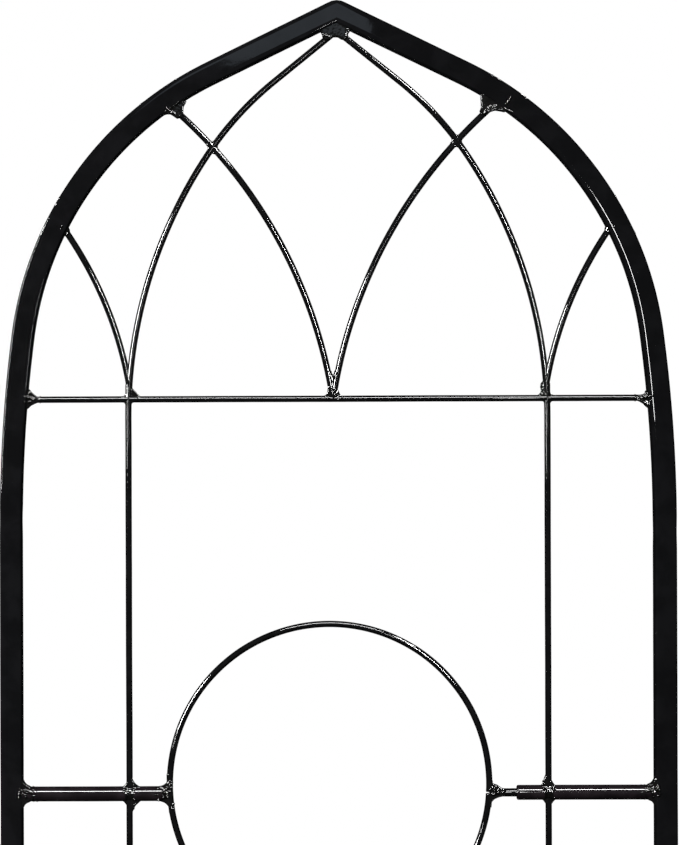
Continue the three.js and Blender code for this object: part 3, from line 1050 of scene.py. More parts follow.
def ring_route(sizes):
    """Round from one end of the ring's rod to the other; its gap is level with the cross tubes."""
    radius = (extent_of("ring").x - sizes.rod) / 2
    above = RING_CENTRE.z - CROSS_TUBE
    start = -math.asin(above / radius) + sizes.ring_gap / (2 * radius)
    x = RING_CENTRE.x + radius * math.cos(start)
    z = RING_CENTRE.z + radius * math.sin(start)
    return Route(x, z, start + math.pi / 2, ROD_DEPTH).bend(radius, 2 * math.pi - sizes.ring_gap / radius)


class TRELLIS_OT_ring(bpy.types.Operator):
    """The ring, rolled from one rod, and the pin that joins it to the right stub"""

    bl_idname = "trellis.ring"
    bl_label = "Ring"

    def execute(self, context):
        sizes = context.scene.trellis_sizes
        finish = rod_finish(context.scene.trellis_paint)
        ring = rod_along(ring_route(sizes), sizes.rod)
        soften_ends(ring, 0.5 * MM)
        waver(ring, 0.04 * MM, 24 * MM)
        add_piece("ring", ring, finish)
        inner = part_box("ring_link")[0].x
        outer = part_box("ring_link")[1].x
        link = rod_along(level(inner, outer, CROSS_TUBE, TUBE_DEPTH), sizes.link_rod, 1.5 * MM)
        waver(link, 0.07 * MM, 5 * MM)
        add_piece("ring_link", link, finish)
        return {"FINISHED"}


# --- Round tubes ----------------------------------------------------------------------------------


class TRELLIS_OT_tubes(bpy.types.Operator):
    """The round tubes: two cross tubes, the two stubs beside the ring, and the bottom tube"""

    bl_idname = "trellis.tubes"
    bl_label = "Round tubes"

    def execute(self, context):
        sizes = context.scene.trellis_sizes
        finish = tube_finish(context.scene.trellis_paint)
        clear = sizes.rod / 2 + 0.3 * MM
        inside = LEG_INSIDE + 1 * MM
        spans = {
            "cross_tube_left": (-inside, -UPRIGHT_X - clear, CROSS_TUBE),
            "cross_tube_right": (UPRIGHT_X + clear, inside, CROSS_TUBE),
            "cross_stub_left": (-UPRIGHT_X + clear, STUB_LEFT_END, CROSS_TUBE),
            "cross_stub_right": (STUB_RIGHT_END, UPRIGHT_X - clear, CROSS_TUBE),
            "bottom_tube": (-inside, inside, BOTTOM_TUBE),
        }
        for name, (start, end, height) in spans.items():
            bm = rod_along(level(start, end, height, TUBE_DEPTH), sizes.round_tube - 0.1 * MM, sides=40)
            soften_ends(bm, 1.4 * MM, 4)
            waver(bm, 0.03 * MM, 30 * MM)
            add_piece(name, bm, finish)
        return {"FINISHED"}


# --- Feet -----------------------------------------------------------------------------------------


def leg_plug(sizes, side):
    """The plate under a leg, its edges rounded over, with a seam of weld between it and the tube."""
    bm = bmesh.new()
    up = math.pi / 2
    x = side * LEG_X
    plate = Route(x, 0.0, up, 0.0).run(PLATE_TOP)
    square_section(bm, TUBE - 0.2 * MM, sizes.frame_corner, across(plate))
    sweep_section(bm, plate, PLATE_TOP)
    soften_ends(bm, 0.5 * MM)
    core = bmesh.new()
    inner = Route(x, PLATE_TOP / 2, up, 0.0).run(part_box("leg_plug_right")[1].z - PLATE_TOP / 2)
    square_section(core, TUBE - 3 * MM, sizes.frame_corner, across(inner))
    sweep_section(core, inner, 4 * MM)
    mesh = bpy.data.meshes.new("plug_core")
    core.to_mesh(mesh)
    core.free()
    bm.from_mesh(mesh)
    bpy.data.meshes.remove(mesh)
    bm = fused(bm, 0.35 * MM, 3)
    waver(bm, 0.03 * MM, 6 * MM)
    return bm


def ground_spike(sizes, side):
    """A spike turned from one profile: a blunt point, a long taper, the rod and a ring of weld."""
    radius = sizes.spike_rod / 2
    tip = SPIKE_TIP
    profile = [
        (0.0, tip),
        (0.9 * MM, tip + 0.3 * MM),
        (1.5 * MM, tip + 1.4 * MM),
        (radius * 0.72, tip + 11.5 * MM),
        (radius * 0.97, tip + 17.4 * MM),
        (radius, tip + 19.5 * MM),
        (radius, tip * 0.5),
        (radius, -6 * MM),
        (radius + 0.5 * MM, -3.4 * MM),
        (radius + 1.9 * MM, -1.3 * MM),
        (radius + 2.5 * MM, 0.0),
        (radius + 2.1 * MM, PLATE_TOP / 2),
        (0.0, PLATE_TOP / 2),
    ]
    bm = bmesh.new()
    verts = [bm.verts.new((side * LEG_X + aside, 0.0, z)) for aside, z in profile]
    edges = [bm.edges.new(pair) for pair in zip(verts, verts[1:])]
    long_edges = [edge for edge in edges if edge.calc_length() > 20 * MM]
    bmesh.ops.subdivide_edges(bm, edges=long_edges, cuts=24)
    bmesh.ops.spin(
        bm,
        geom=bm.verts[:] + bm.edges[:],
        cent=(side * LEG_X, 0, 0),
        axis=(0, 0, 1),
        dvec=(0, 0, 0),
        angle=2 * math.pi,
        steps=32,
        use_merge=True,
        use_normal_flip=False,
        use_duplicate=False,
    )
    bmesh.ops.remove_doubles(bm, verts=bm.verts[:], dist=1e-6)
    bmesh.ops.recalc_face_normals(bm, faces=bm.faces[:])
    waver(bm, 0.04 * MM, 5 * MM)
    for vert in bm.verts:
        vert.co.z = max(vert.co.z, SPIKE_TIP)
    return bm


class TRELLIS_OT_feet(bpy.types.Operator):
    """The plugs that close the legs and the ground spikes under them"""

    bl_idname = "trellis.feet"
    bl_label = "Feet"

    def execute(self, context):
        sizes = context.scene.trellis_sizes
        finish = spike_finish(context.scene.trellis_paint)
        for name, side in SIDES.items():
            add_piece(f"leg_plug_{name}", leg_plug(sizes, side), finish)
            add_piece(f"ground_spike_{name}", ground_spike(sizes, side), finish)
        return {"FINISHED"}


# --- Welds ----------------------------------------------------------------------------------------

UP = math.pi / 2
DOWN = -math.pi / 2
LEFT = math.pi
RIGHT = 0.0
INNER = 0.95  # how much of a hidden stub's width is kept, so that it stays inside its piece


def outwards(side):
    return RIGHT if side > 0 else LEFT


def foot_metal(sizes):
    """Where both shoulder rods come down on the top bar: the right one dies into the left one."""
    rod = sizes.rod * INNER
    metal = WeldMetal(sizes.tracery_offset, TOP_BAR, "foot")
    heading = shoulder_arc_route(sizes, 1)[0].at(0.0)[1]
    metal.stub(LEFT, rod, 13 * MM).stub(RIGHT, rod, 13 * MM)
    metal.stub(math.pi - heading, rod, 24 * MM).stub(heading, rod, 24 * MM)
    outline = [
        (-8.2, 0.0), (-8.2, 2.3), (-5.6, 3.6), (-4.7, 6.0), (-4.6, 10.0), (-1.6, 20.5),
        (0.9, 20.5), (3.4, 9.4), (6.6, 2.6), (7.6, 0.0),
    ]
    metal.plate(outline, 4.2 * MM)
    metal.lump(0.6 * MM, 3.0 * MM, 3.6 * MM, 3.4 * MM, 3.2 * MM)
    metal.dots([(-0.4, 7.9, 2.6), (0.9, 6.2, 2.8), (3.6, 3.8, 2.5), (2.4, 2.6, 3.0), (-4.5, 0.6, 2.4)])
    metal.dots([(8.4, 1.6, 1.8), (7.2, 0.2, 2.2), (-7.2, 1.2, 1.9), (4.6, -0.4, 2.4)], 0.9 * MM)
    metal.row((-3.0 * MM, 4.5 * MM, -2.6 * MM), (4.0 * MM, 4.0 * MM, -2.6 * MM), 1.4 * MM)
    return metal.finish(sizes.weld_grain, passes=16)


def crossing_metal(sizes, side):
    """Small fillets in the four corners where a shoulder rod crosses the main rod."""
    rod = sizes.rod * INNER
    whole, crossing, _ = shoulder_arc_route(sizes, side)
    place, heading = on_side(whole, side).at(crossing)
    main = on_side(main_rod_route(sizes), side)
    main_heading = main.at(nearest(main, on_side(whole, side)))[1]
    metal = WeldMetal(place.x, place.z, f"crossing{side}")
    arms = [heading, main_heading, heading + math.pi, main_heading + math.pi]
    for angle in arms:
        metal.stub(angle, rod, 11 * MM)
    half = sizes.rod / 2
    for first in (heading, heading + math.pi):
        for second in (main_heading, main_heading + math.pi):
            metal.web(first, second, half, half, 2.6 * MM, 3.6 * MM)
    for way in (1, -1):
        start = pointing(heading) * 4.4 * MM * way + pointing(heading + UP) * 2.0 * MM
        end = pointing(heading) * 5.0 * MM * way - pointing(heading + UP) * 1.8 * MM
        metal.row((start.x, start.z, 1.5 * MM), (end.x, end.z, 1.6 * MM), 1.0 * MM)
        metal.row((start.x, start.z, -1.7 * MM), (end.x, end.z, -1.7 * MM), 1.15 * MM)
    return metal.finish(sizes.weld_grain, passes=14)


def frame_wall(metal, sizes, side, station_point):
    """Adds a stretch of the frame's tube beside a joint, a little inside its faces."""
    route = on_side(frame_route(sizes), side)
    near = nearest(route, Route(station_point.x, station_point.z, 0.0, 0.0).run(1 * MM))
    centre, heading = route.at(near)
    offset = centre - metal.place
    inside = 0.5 * MM
    thickness = TUBE - 2 * inside
    metal.wall(heading, offset.x, offset.z, 38 * MM, thickness, thickness)
    return centre, heading


def shoulder_metal(sizes, side):
    """The block of weld that fills the corner between a shoulder rod and the frame."""
    whole, _, end = shoulder_arc_route(sizes, side)
    rod_route = on_side(whole, side)
    back = TUBE / 2 + 3.2 * MM
    point, heading = rod_route.at(end - back)
    metal = WeldMetal(point.x, point.z, f"shoulder{side}")
    metal.stub(heading, sizes.rod * INNER, 12 * MM)
    metal.stub(heading + math.pi, sizes.rod * INNER, 16 * MM)
    frame_wall(metal, sizes, side, rod_route.at(end)[0])
    if side < 0:
        outline = [
            (-11.5, -4.6), (-7.4, -3.2), (-4.2, -3.2), (-1.6, -5.0), (1.6, -7.2), (6.4, -4.4),
            (6.6, -0.8), (6.8, 3.2), (9.6, 7.8), (0.0, 9.0),
        ]
        metal.plate(outline, 7.6 * MM, 0.4 * MM)
        metal.dots(
            [(-4.0, 1.5, 5.2), (-6.4, 0.0, 5.0), (-5.0, -0.8, 4.6), (-2.7, -1.8, 4.4), (2.5, 6.4, 5.4)]
        )
        metal.dots([(4.8, -5.2, 2.8), (2.6, -4.6, 3.4), (0.8, -4.6, 3.4), (-1.2, -3.2, 4.0)], 1.05 * MM)
        metal.dots([(-7.6, 2.0, 5.4), (-2.0, 3.4, 5.2), (0.4, 4.8, 5.2), (-8.8, -1.6, 5.0)], 1.1 * MM)
    else:
        outline = [
            (-11.0, 9.0), (-10.4, 4.2), (-10.2, -1.6), (-11.6, -5.0), (-8.4, -8.2), (-3.6, -6.0),
            (1.5, -4.3), (5.5, -4.9), (9.6, -5.8), (13.0, -3.6), (0.0, 9.0),
        ]
        metal.plate(outline, 7.6 * MM, 0.4 * MM)
        metal.row((13.8 * MM, 6.4 * MM, 5.0 * MM), (11.0 * MM, 0.2 * MM, 5.1 * MM), 1.3 * MM)
        metal.row((10.4 * MM, -3.4 * MM, 5.0 * MM), (17.0 * MM, -6.4 * MM, 4.9 * MM), 0.9 * MM)
        metal.dots(
            [(-7.6, -4.4, 3.4), (-5.2, -2.6, 3.8), (-2.6, -1.4, 4.2), (1.0, -1.0, 4.6)], 1.0 * MM
        )
    inward = -side
    behind = -3.6 * MM
    metal.row((inward * 3.0 * MM, 5.0 * MM, behind), (-inward * 5.5 * MM, 1.0 * MM, behind), 1.5 * MM)
    return metal.finish(sizes.weld_grain, passes=12)


def side_rod_metal(sizes, side):
    """A small weld where a side rod meets the frame."""
    route = on_side(side_rod_route(sizes), side)
    end = route.length()
    point, heading = route.at(end - TUBE / 2 - 0.6 * MM)
    metal = WeldMetal(point.x, point.z, f"side{side}")
    metal.stub(heading, sizes.rod * INNER, 12 * MM)
    metal.stub(heading + math.pi, sizes.rod * INNER, 12 * MM)
    _, wall = frame_wall(metal, sizes, side, route.at(end)[0])
    for way in (wall, wall + math.pi):
        metal.web(heading + math.pi, way, sizes.rod / 2, 0.0, 3.8 * MM, 4.6 * MM)
    metal.lump(0.0, 0.0, 4.0 * MM, 4.0 * MM, 3.2 * MM)
    metal.dots([(side * 1.6, -0.6, 3.6), (side * 0.2, -2.2, 3.2), (-side * 1.6, -2.8, 2.6)], 1.05 * MM)
    metal.dots([(side * 3.4, 1.4, 4.8), (side * 2.8, 3.6, 5.0)], 1.1 * MM)
    metal.row((-side * 1.0 * MM, 3.4 * MM, -3.0 * MM), (side * 3.0 * MM, -1.0 * MM, -3.0 * MM), 1.3 * MM)
    return metal.finish(sizes.weld_grain, passes=14)


def bar_end_metal(sizes, side, height, seed):
    """A rippled collar where a thin bar meets the frame, lapping a little onto the frame's face."""
    route = on_side(frame_route(sizes), side)
    probe = Route(side * LEG_X, height, 0.0, 0.0).run(0.5 * MM)
    centre = route.at(nearest(route, probe))[0]
    wall = centre.x - side * TUBE / 2
    metal = WeldMetal(wall, height, seed)
    frame_wall(metal, sizes, side, centre)
    inward = outwards(-side)
    metal.stub(inward, sizes.rod * INNER, 15 * MM)
    if side < 0:
        outline = [(-2, 10.5), (1.2, 9.4), (4.0, 6.2), (7.6, 3.0), (10.5, 2.2), (10.5, -2.2), (7, -3.2)]
        outline += [(3.0, -5.2), (0.6, -7.6), (-2, -9)]
        metal.plate(outline, 6.4 * MM)
        metal.dots(
            [(-2.4, 3.4, 5.2), (-1.0, 2.0, 5.4), (1.4, 1.6, 4.0), (3.2, 0.8, 3.6), (5.0, 0.4, 3.2)]
        )
        metal.dots([(1.6, 5.6, 3.0), (0.4, 7.2, 3.0), (2.2, -2.0, 3.4), (-1.8, -1.6, 5.2)], 1.0 * MM)
    else:
        outline = [(2, 6.0), (-1.6, 5.0), (-4.0, 3.2), (-8.5, 2.3), (-9.5, -2.3), (-7.6, -3.2)]
        outline += [(-4.4, -5.0), (-1.6, -8.0), (2, -10)]
        metal.plate(outline, 6.4 * MM)
        metal.dots(
            [(2.2, 1.6, 5.2), (0.4, 0.8, 5.0), (-1.8, 0.4, 3.8), (-4.0, 0.8, 3.4), (-6.0, -0.4, 2.8)]
        )
        metal.dots([(-2.6, -4.0, 2.8), (-0.6, -5.6, 3.0), (1.6, -2.0, 5.2)], 1.0 * MM)
    metal.collar(inward, 11.0 * MM, sizes.rod / 2 - 0.25 * MM, 0.8 * MM)
    metal.row((-side * 1.4 * MM, 4.8 * MM, -3.2 * MM), (-side * 1.4 * MM, -4.4 * MM, -3.2 * MM), 1.5 * MM)
    return metal.finish(sizes.weld_grain, passes=14)


def bar_cross_metal(sizes, side, height, seed):
    """Fillets where a thin bar meets an upright main rod."""
    rod = sizes.rod * INNER
    half = sizes.rod / 2
    metal = WeldMetal(side * UPRIGHT_X, height, seed)
    for heading in (UP, DOWN, LEFT, RIGHT):
        metal.stub(heading, rod, 13 * MM)
    reaches = {
        (UP, LEFT): (2.4, 2.0),
        (UP, RIGHT): (6.2, 2.2),
        (DOWN, LEFT): (2.0, 2.0),
        (DOWN, RIGHT): (2.4, 2.2),
    }
    for (first, second), reach in reaches.items():
        metal.web(first, second, half, half, (reach[0] if side < 0 else reach[1]) * MM, 3.8 * MM)
    if side < 0:
        metal.plate(
            [(1, 11.5), (2.6, 10.6), (5.2, 7.6), (8.6, 4.2), (10.6, 2.2), (10, 0), (1, 0)], 3.6 * MM
        )
        metal.dots([(9.6, 1.6, 1.9), (10.6, 0.6, 2.0), (8.2, 0.6, 2.2), (-4.7, 1.4, 1.8)], 0.95 * MM)
    else:
        outline = [(-1, 16), (-3.6, 14.6), (-5.6, 12.6), (-6.1, 9.4), (-5.2, 6.6), (-6.0, 4.4)]
        metal.plate([*outline, (-8.2, 2.4), (-1, 0)], 3.6 * MM)
        metal.dots([(-4.6, 10.0, 1.8), (-5.0, 7.0, 1.6), (6.0, 1.4, 1.8), (-6.4, 1.4, 1.8)], 0.95 * MM)
    metal.row((4.6 * MM, 1.8 * MM, -1.8 * MM), (4.6 * MM, -1.8 * MM, -1.8 * MM), 1.15 * MM)
    metal.row((-4.6 * MM, 1.8 * MM, -1.8 * MM), (-4.6 * MM, -1.8 * MM, -1.8 * MM), 1.15 * MM)
    return metal.finish(sizes.weld_grain, passes=12)


def tube_end_metal(sizes, side, height, seed):
    """The weld round a tube's end against the inside of a leg."""
    metal = WeldMetal(side * LEG_INSIDE, height, seed, TUBE_DEPTH)
    metal.wall(UP, side * TUBE / 2, 0.0, 38 * MM, TUBE - 1 * MM, TUBE - 1 * MM)
    inward = outwards(-side)
    metal.stub(inward, sizes.round_tube * 0.975, 16 * MM)
    inner = -side
    outline = [(-3.5, 13), (0.2, 12.2), (1.4, 9.6), (3.2, 7.6), (6.4, 6.2), (6.4, -6.2), (3.4, -7.4)]
    outline += [(1.6, -9.0), (0.4, -11.4), (-3.5, -12.4)]
    metal.plate([(inner * x, z) for x, z in outline], 11.0 * MM)
    radius = sizes.round_tube / 2
    metal.collar(inward, 2.6 * MM, radius - 0.4 * MM, 1.35 * MM)
    metal.collar(inward, 8.6 * MM, radius - 0.75 * MM, 1.1 * MM)
    metal.collar(inward, 11.6 * MM, radius - 0.8 * MM, 1.0 * MM)
    metal.row((side * 2.6 * MM, 5.2 * MM, 6.0 * MM), (side * 3.0 * MM, -2.6 * MM, 6.0 * MM), 1.4 * MM)
    metal.row((side * 2.2 * MM, 3.6 * MM, 6.1 * MM), (-side * 7.0 * MM, 1.4 * MM, 6.1 * MM), 1.2 * MM)
    return metal.finish(sizes.weld_grain, passes=14)


def tube_cross_metal(sizes, side):
    """The welds on both sides of an upright rod between a cross tube and its stub."""
    rod = sizes.rod * INNER
    metal = WeldMetal(side * UPRIGHT_X, CROSS_TUBE, f"tube_cross{side}", TUBE_DEPTH)
    back = TUBE_DEPTH - ROD_DEPTH
    metal.stub(UP, rod, 20 * MM, forward=back).stub(DOWN, rod, 20 * MM, forward=back)
    tube = sizes.round_tube * 0.975
    metal.stub(LEFT, tube, 10 * MM, aside=-2.2 * MM).stub(RIGHT, tube, 10 * MM, aside=2.2 * MM)
    metal.lump(0.0, 0.0, 4.4 * MM, 6.4 * MM, 5.4 * MM)
    small = [(-1, 9.6), (2.8, 9.4), (3.8, 7.6), (5.6, 6.0), (-1, 5)]
    if side < 0:
        upper = [(-1, 14), (2.5, 13.4), (3.4, 10.6), (5.2, 8.4), (8.2, 6.2), (-1, 5)]
        lower = [(-1, -16), (2.5, -16), (3.4, -13.0), (5.2, -9.8), (9.4, -6.0), (-1, -5)]
        for outline in (upper, lower, [(-x, z) for x, z in small], [(-x, -z) for x, z in small]):
            metal.plate(outline, 4.8 * MM, 1.0 * MM)
        metal.dots(
            [(-4.9, 2.2, 6.2), (3.4, 9.4, 2.6), (4.6, 7.4, 3.4), (4.4, -9.4, 3.0), (3.2, -12.4, 2.4)]
        )
    else:
        upper = [(1, 16), (-2.8, 15.0), (-4.0, 11.5), (-4.4, 8.5), (-6.4, 6.0), (1, 5)]
        below = [(1, -10), (-2.8, -9.4), (-4.0, -7.4), (-5.4, -6.0), (1, -5)]
        beside = [(-1, 10.6), (2.7, 10.4), (3.8, 8.4), (5.6, 6.0), (-1, 5)]
        for outline in (upper, below, beside, [(x, -z) for x, z in small]):
            metal.plate(outline, 4.8 * MM, 1.0 * MM)
        metal.dots([(-4.8, 3.8, 5.4), (-4.2, 9.6, 2.4), (-4.8, 7.0, 3.4), (4.6, 3.0, 5.6)])
    metal.row((-3.9 * MM, 4.4 * MM, 4.4 * MM), (-4.1 * MM, -4.6 * MM, 4.2 * MM), 0.95 * MM)
    metal.row((4.0 * MM, 4.4 * MM, 4.4 * MM), (4.1 * MM, -4.4 * MM, 4.3 * MM), 0.95 * MM)
    for way in (1, -1):
        metal.row((way * 3.6 * MM, 5.2 * MM, -4.2 * MM), (way * 3.6 * MM, -5.2 * MM, -4.2 * MM), 1.4 * MM)
    return metal.finish(sizes.weld_grain, passes=12)


def ring_left_metal(sizes):
    """The fan of weld that joins the left stub straight to the ring."""
    ring_x = RING_CENTRE.x - (extent_of("ring").x - sizes.rod) / 2
    metal = WeldMetal(ring_x, CROSS_TUBE, "ring_left", TUBE_DEPTH)
    back = TUBE_DEPTH - ROD_DEPTH
    lean = math.asin((RING_CENTRE.z - CROSS_TUBE) / ((extent_of("ring").x - sizes.rod) / 2))
    rod = sizes.rod * INNER
    metal.stub(UP + lean * 0.4, rod, 17 * MM, forward=back)
    metal.stub(DOWN + lean * 1.8, rod, 17 * MM, forward=back)
    gap = ring_x - STUB_LEFT_END
    metal.stub(LEFT, sizes.round_tube * 0.975, 8 * MM, aside=-gap - 0.5 * MM)
    fan = [
        (-12.5, 6.1), (-9.4, 6.2), (-5.6, 7.2), (-2.6, 9.4), (-1.6, 13.5), (1.6, 14.0), (1.8, 0.0),
        (2.8, -14.5), (-0.4, -14.5), (-1.4, -10.4), (-4.4, -7.6), (-9.4, -5.9), (-12.5, -6.1),
    ]
    metal.plate(fan, 5.0 * MM, 0.6 * MM)
    metal.lump(-gap - 0.6 * MM, 0.0, 2.6 * MM, 6.1 * MM, 5.4 * MM)
    metal.lump(-gap / 2, 0.0, 3.6 * MM, 5.0 * MM, 4.0 * MM, forward=0.4 * MM)
    metal.dots(
        [(-8.1, -0.8, 5.0), (-6.4, 0.9, 4.8), (-4.5, 1.5, 4.4), (-3.0, 3.4, 4.0), (-1.6, 5.3, 3.6)]
    )
    metal.dots([(1.6, 5.1, 3.4), (0.8, 7.7, 3.4), (-0.6, 8.6, 3.4), (2.0, 10.0, 3.0), (0.3, 11.3, 3.2)])
    metal.dots(
        [(-12.0, -0.4, 5.8), (-9.6, 4.7, 4.6), (-9.6, -4.9, 4.4), (3.4, -8.6, 2.6), (-2.0, -2.3, 4.2)]
    )
    metal.dots(
        [(3.2, -11.3, 2.6), (1.4, -12.0, 3.0), (2.7, -12.6, 2.8), (0.2, 2.2, 3.8), (-5.6, -3.0, 4.2)]
    )
    metal.row((-9.4 * MM, -1.4 * MM, -4.8 * MM), (-0.6 * MM, 8.6 * MM, -3.6 * MM), 1.5 * MM)
    metal.row((-8.4 * MM, -3.4 * MM, -4.4 * MM), (-0.6 * MM, -8.6 * MM, -3.4 * MM), 1.5 * MM)
    return metal.finish(sizes.weld_grain, passes=12)


def ring_right_metal(sizes):
    """The lump of weld that joins the ring's two rod ends to the pin."""
    ring_x = RING_CENTRE.x + (extent_of("ring").x - sizes.rod) / 2
    metal = WeldMetal(ring_x, CROSS_TUBE, "ring_right", TUBE_DEPTH)
    rod = sizes.rod * INNER
    back = TUBE_DEPTH - ROD_DEPTH
    metal.stub(UP - 0.04, rod, 9 * MM, above=1.6 * MM, aside=0.2 * MM, forward=back)
    metal.stub(DOWN - 0.06, rod, 11 * MM, above=-1.6 * MM, forward=back)
    metal.stub(RIGHT, sizes.link_rod * INNER, 12 * MM, aside=3 * MM)
    outline = [
        (0.8, 11.0), (3.0, 7.6), (6.6, 6.6), (10.0, 4.2), (12.5, 3.0), (12.5, -3.0), (8.3, -3.8),
        (4.4, -5.4), (1.4, -8.4), (-1.0, -11.0), (0.4, -2.0), (0.2, 2.0),
    ]
    metal.plate(outline, 6.4 * MM, 0.2 * MM)
    metal.dots([(1.8, 4.3, 3.2), (0.6, 2.5, 3.0), (4.3, 2.4, 3.9), (6.6, 1.6, 3.9), (2.9, -0.9, 3.8)])
    metal.dots(
        [(4.8, -0.4, 4.0), (7.4, -0.3, 3.9), (11.3, -0.1, 3.4), (13.0, 1.4, 3.0), (5.6, 4.4, 3.2)]
    )
    metal.row((2.4 * MM, 4.0 * MM, -3.6 * MM), (2.0 * MM, -4.6 * MM, -3.6 * MM), 1.5 * MM)
    return metal.finish(sizes.weld_grain * 0.9, passes=10)


def upright_foot_metal(sizes, side):
    """Where an upright main rod stands on the bottom tube."""
    metal = WeldMetal(side * UPRIGHT_X, BOTTOM_TUBE + sizes.round_tube / 2, f"upright{side}")
    metal.stub(UP, sizes.rod * INNER, 10 * MM)
    below = -sizes.round_tube / 2
    forward = ROD_DEPTH - TUBE_DEPTH
    tube = sizes.round_tube * 0.975
    metal.stub(LEFT, tube, 10 * MM, above=below, forward=forward)
    metal.stub(RIGHT, tube, 10 * MM, above=below, forward=forward)
    for way in (LEFT, RIGHT):
        metal.web(UP, way, sizes.rod / 2, 0.2 * MM, 3.2 * MM, 5.0 * MM)
    metal.lump(0.0, 0.4 * MM, 4.0 * MM, 2.4 * MM, 4.0 * MM)
    metal.collar(UP, 0.8 * MM, sizes.rod / 2 + 1.0 * MM, 1.15 * MM)
    return metal.finish(sizes.weld_grain, passes=14)


class TRELLIS_OT_welds(bpy.types.Operator):
    """Every weld between the frame, the rods, the bars, the tubes and the ring"""

    bl_idname = "trellis.welds"
    bl_label = "Welds"

    def execute(self, context):
        sizes = context.scene.trellis_sizes
        finish = weld_finish(context.scene.trellis_paint)
        metals = {"foot": foot_metal(sizes)}
        metals["ring_left"] = ring_left_metal(sizes)
        metals["ring_right"] = ring_right_metal(sizes)
        for name, side in SIDES.items():
            metals[f"shoulder_{name}"] = shoulder_metal(sizes, side)
            metals[f"side_rod_{name}"] = side_rod_metal(sizes, side)
            metals[f"crossing_{name}"] = crossing_metal(sizes, side)
            metals[f"top_bar_end_{name}"] = bar_end_metal(sizes, side, TOP_BAR, f"top_end{side}")
            metals[f"top_bar_{name}"] = bar_cross_metal(sizes, side, TOP_BAR, f"top{side}")
            metals[f"lower_bar_end_{name}"] = bar_end_metal(sizes, side, LOWER_BAR, f"low_end{side}")
            metals[f"lower_bar_{name}"] = bar_cross_metal(sizes, side, LOWER_BAR, f"low{side}")
            metals[f"cross_tube_end_{name}"] = tube_end_metal(sizes, side, CROSS_TUBE, f"tube_end{side}")
            metals[f"cross_tube_{name}"] = tube_cross_metal(sizes, side)
            foot_end = tube_end_metal(sizes, side, BOTTOM_TUBE, f"foot_end{side}")
            metals[f"bottom_tube_end_{name}"] = foot_end
            metals[f"upright_foot_{name}"] = upright_foot_metal(sizes, side)
        for name, bm in metals.items():
            add_piece(f"weld_{name}", bm, finish, sharp=math.pi)
        return {"FINISHED"}


# --- Floor, light and camera ----------------------------------------------------------------------


def floor_finish():
    """A floor that looks pale, and that the paint mirrors only dimly."""
    finish = Finish("pale_floor")
    clouds = finish.mottle(0.6, 3.0)
    shade = finish.blend(clouds, (0.80, 0.80, 0.79, 1.0), (0.86, 0.86, 0.855, 1.0))
    pale = {
        "Base Color": shade,
        "Roughness": 0.65,
        "Emission Color": shade,
        "Emission Strength": 0.55,
    }
    seen = finish.node("ShaderNodeBsdfPrincipled", {}, pale)
    mirrored = finish.node("ShaderNodeBsdfDiffuse", {}, {"Color": (0.03, 0.03, 0.03, 1.0)})
    direct = finish.node("ShaderNodeLightPath", {}, {}, "Is Camera Ray")
    sockets = {"Fac": direct, "Shader": mirrored, "Shader_001": seen}
    surface = finish.node("ShaderNodeMixShader", {}, sockets)
    finish.node("ShaderNodeOutputMaterial", {}, {"Surface": surface})
    return finish.material


def small_pieces():
    """A collection of every painted piece except the frame's two halves."""
    collection = bpy.data.collections.new("small_pieces")
    for piece in bpy.data.objects:
        if piece.name.startswith("painted_") and "frame" not in piece.name:
            collection.objects.link(piece)
    return collection


def add_softbox(name, place, target, width, height, watts, receivers=None):
    """A rectangular light aimed at a place. Receivers are the only pieces it lights, if given."""
    data = bpy.data.lights.new(name, "AREA")
    data.shape = "RECTANGLE"
    data.size = width
    data.size_y = height
    data.energy = watts
    box = bpy.data.objects.new(name, data)
    box.location = place
    box.rotation_euler = (Vector(target) - Vector(place)).to_track_quat("-Z", "Y").to_euler()
    if receivers is not None:
        box.light_linking.receiver_collection = receivers
    bpy.context.scene.collection.objects.link(box)
    return box


def light_world(scene):
    """White behind the object as the camera sees it. For everything else, a room that is dim in front
    of the object and nearly dark behind it."""
    world = bpy.data.worlds.new("studio_room")
    world.use_nodes = True
    tree = world.node_tree
    tree.nodes.clear()
    seen = tree.nodes.new("ShaderNodeBackground")
    seen.inputs["Color"].default_value = (1, 1, 1, 1)
    seen.inputs["Strength"].default_value = 1.0
    way = tree.nodes.new("ShaderNodeTexCoord")
    parts = tree.nodes.new("ShaderNodeSeparateXYZ")
    fade = tree.nodes.new("ShaderNodeMapRange")
    glow_behind = 0.004
    glow_in_front = 0.055
    fade.inputs["From Min"].default_value = 0.1
    fade.inputs["From Max"].default_value = -0.8
    fade.inputs["To Min"].default_value = glow_behind
    fade.inputs["To Max"].default_value = glow_in_front
    room = tree.nodes.new("ShaderNodeBackground")
    room.inputs["Color"].default_value = (0.92, 0.95, 1.0, 1)
    rays = tree.nodes.new("ShaderNodeLightPath")
    mix = tree.nodes.new("ShaderNodeMixShader")
    output = tree.nodes.new("ShaderNodeOutputWorld")
    tree.links.new(way.outputs["Generated"], parts.inputs[0])
    tree.links.new(parts.outputs["Y"], fade.inputs["Value"])
    tree.links.new(fade.outputs[0], room.inputs["Strength"])
    tree.links.new(rays.outputs["Is Camera Ray"], mix.inputs[0])
    tree.links.new(room.outputs[0], mix.inputs[1])
    tree.links.new(seen.outputs[0], mix.inputs[2])
    tree.links.new(mix.outputs[0], output.inputs["Surface"])
    scene.world = world


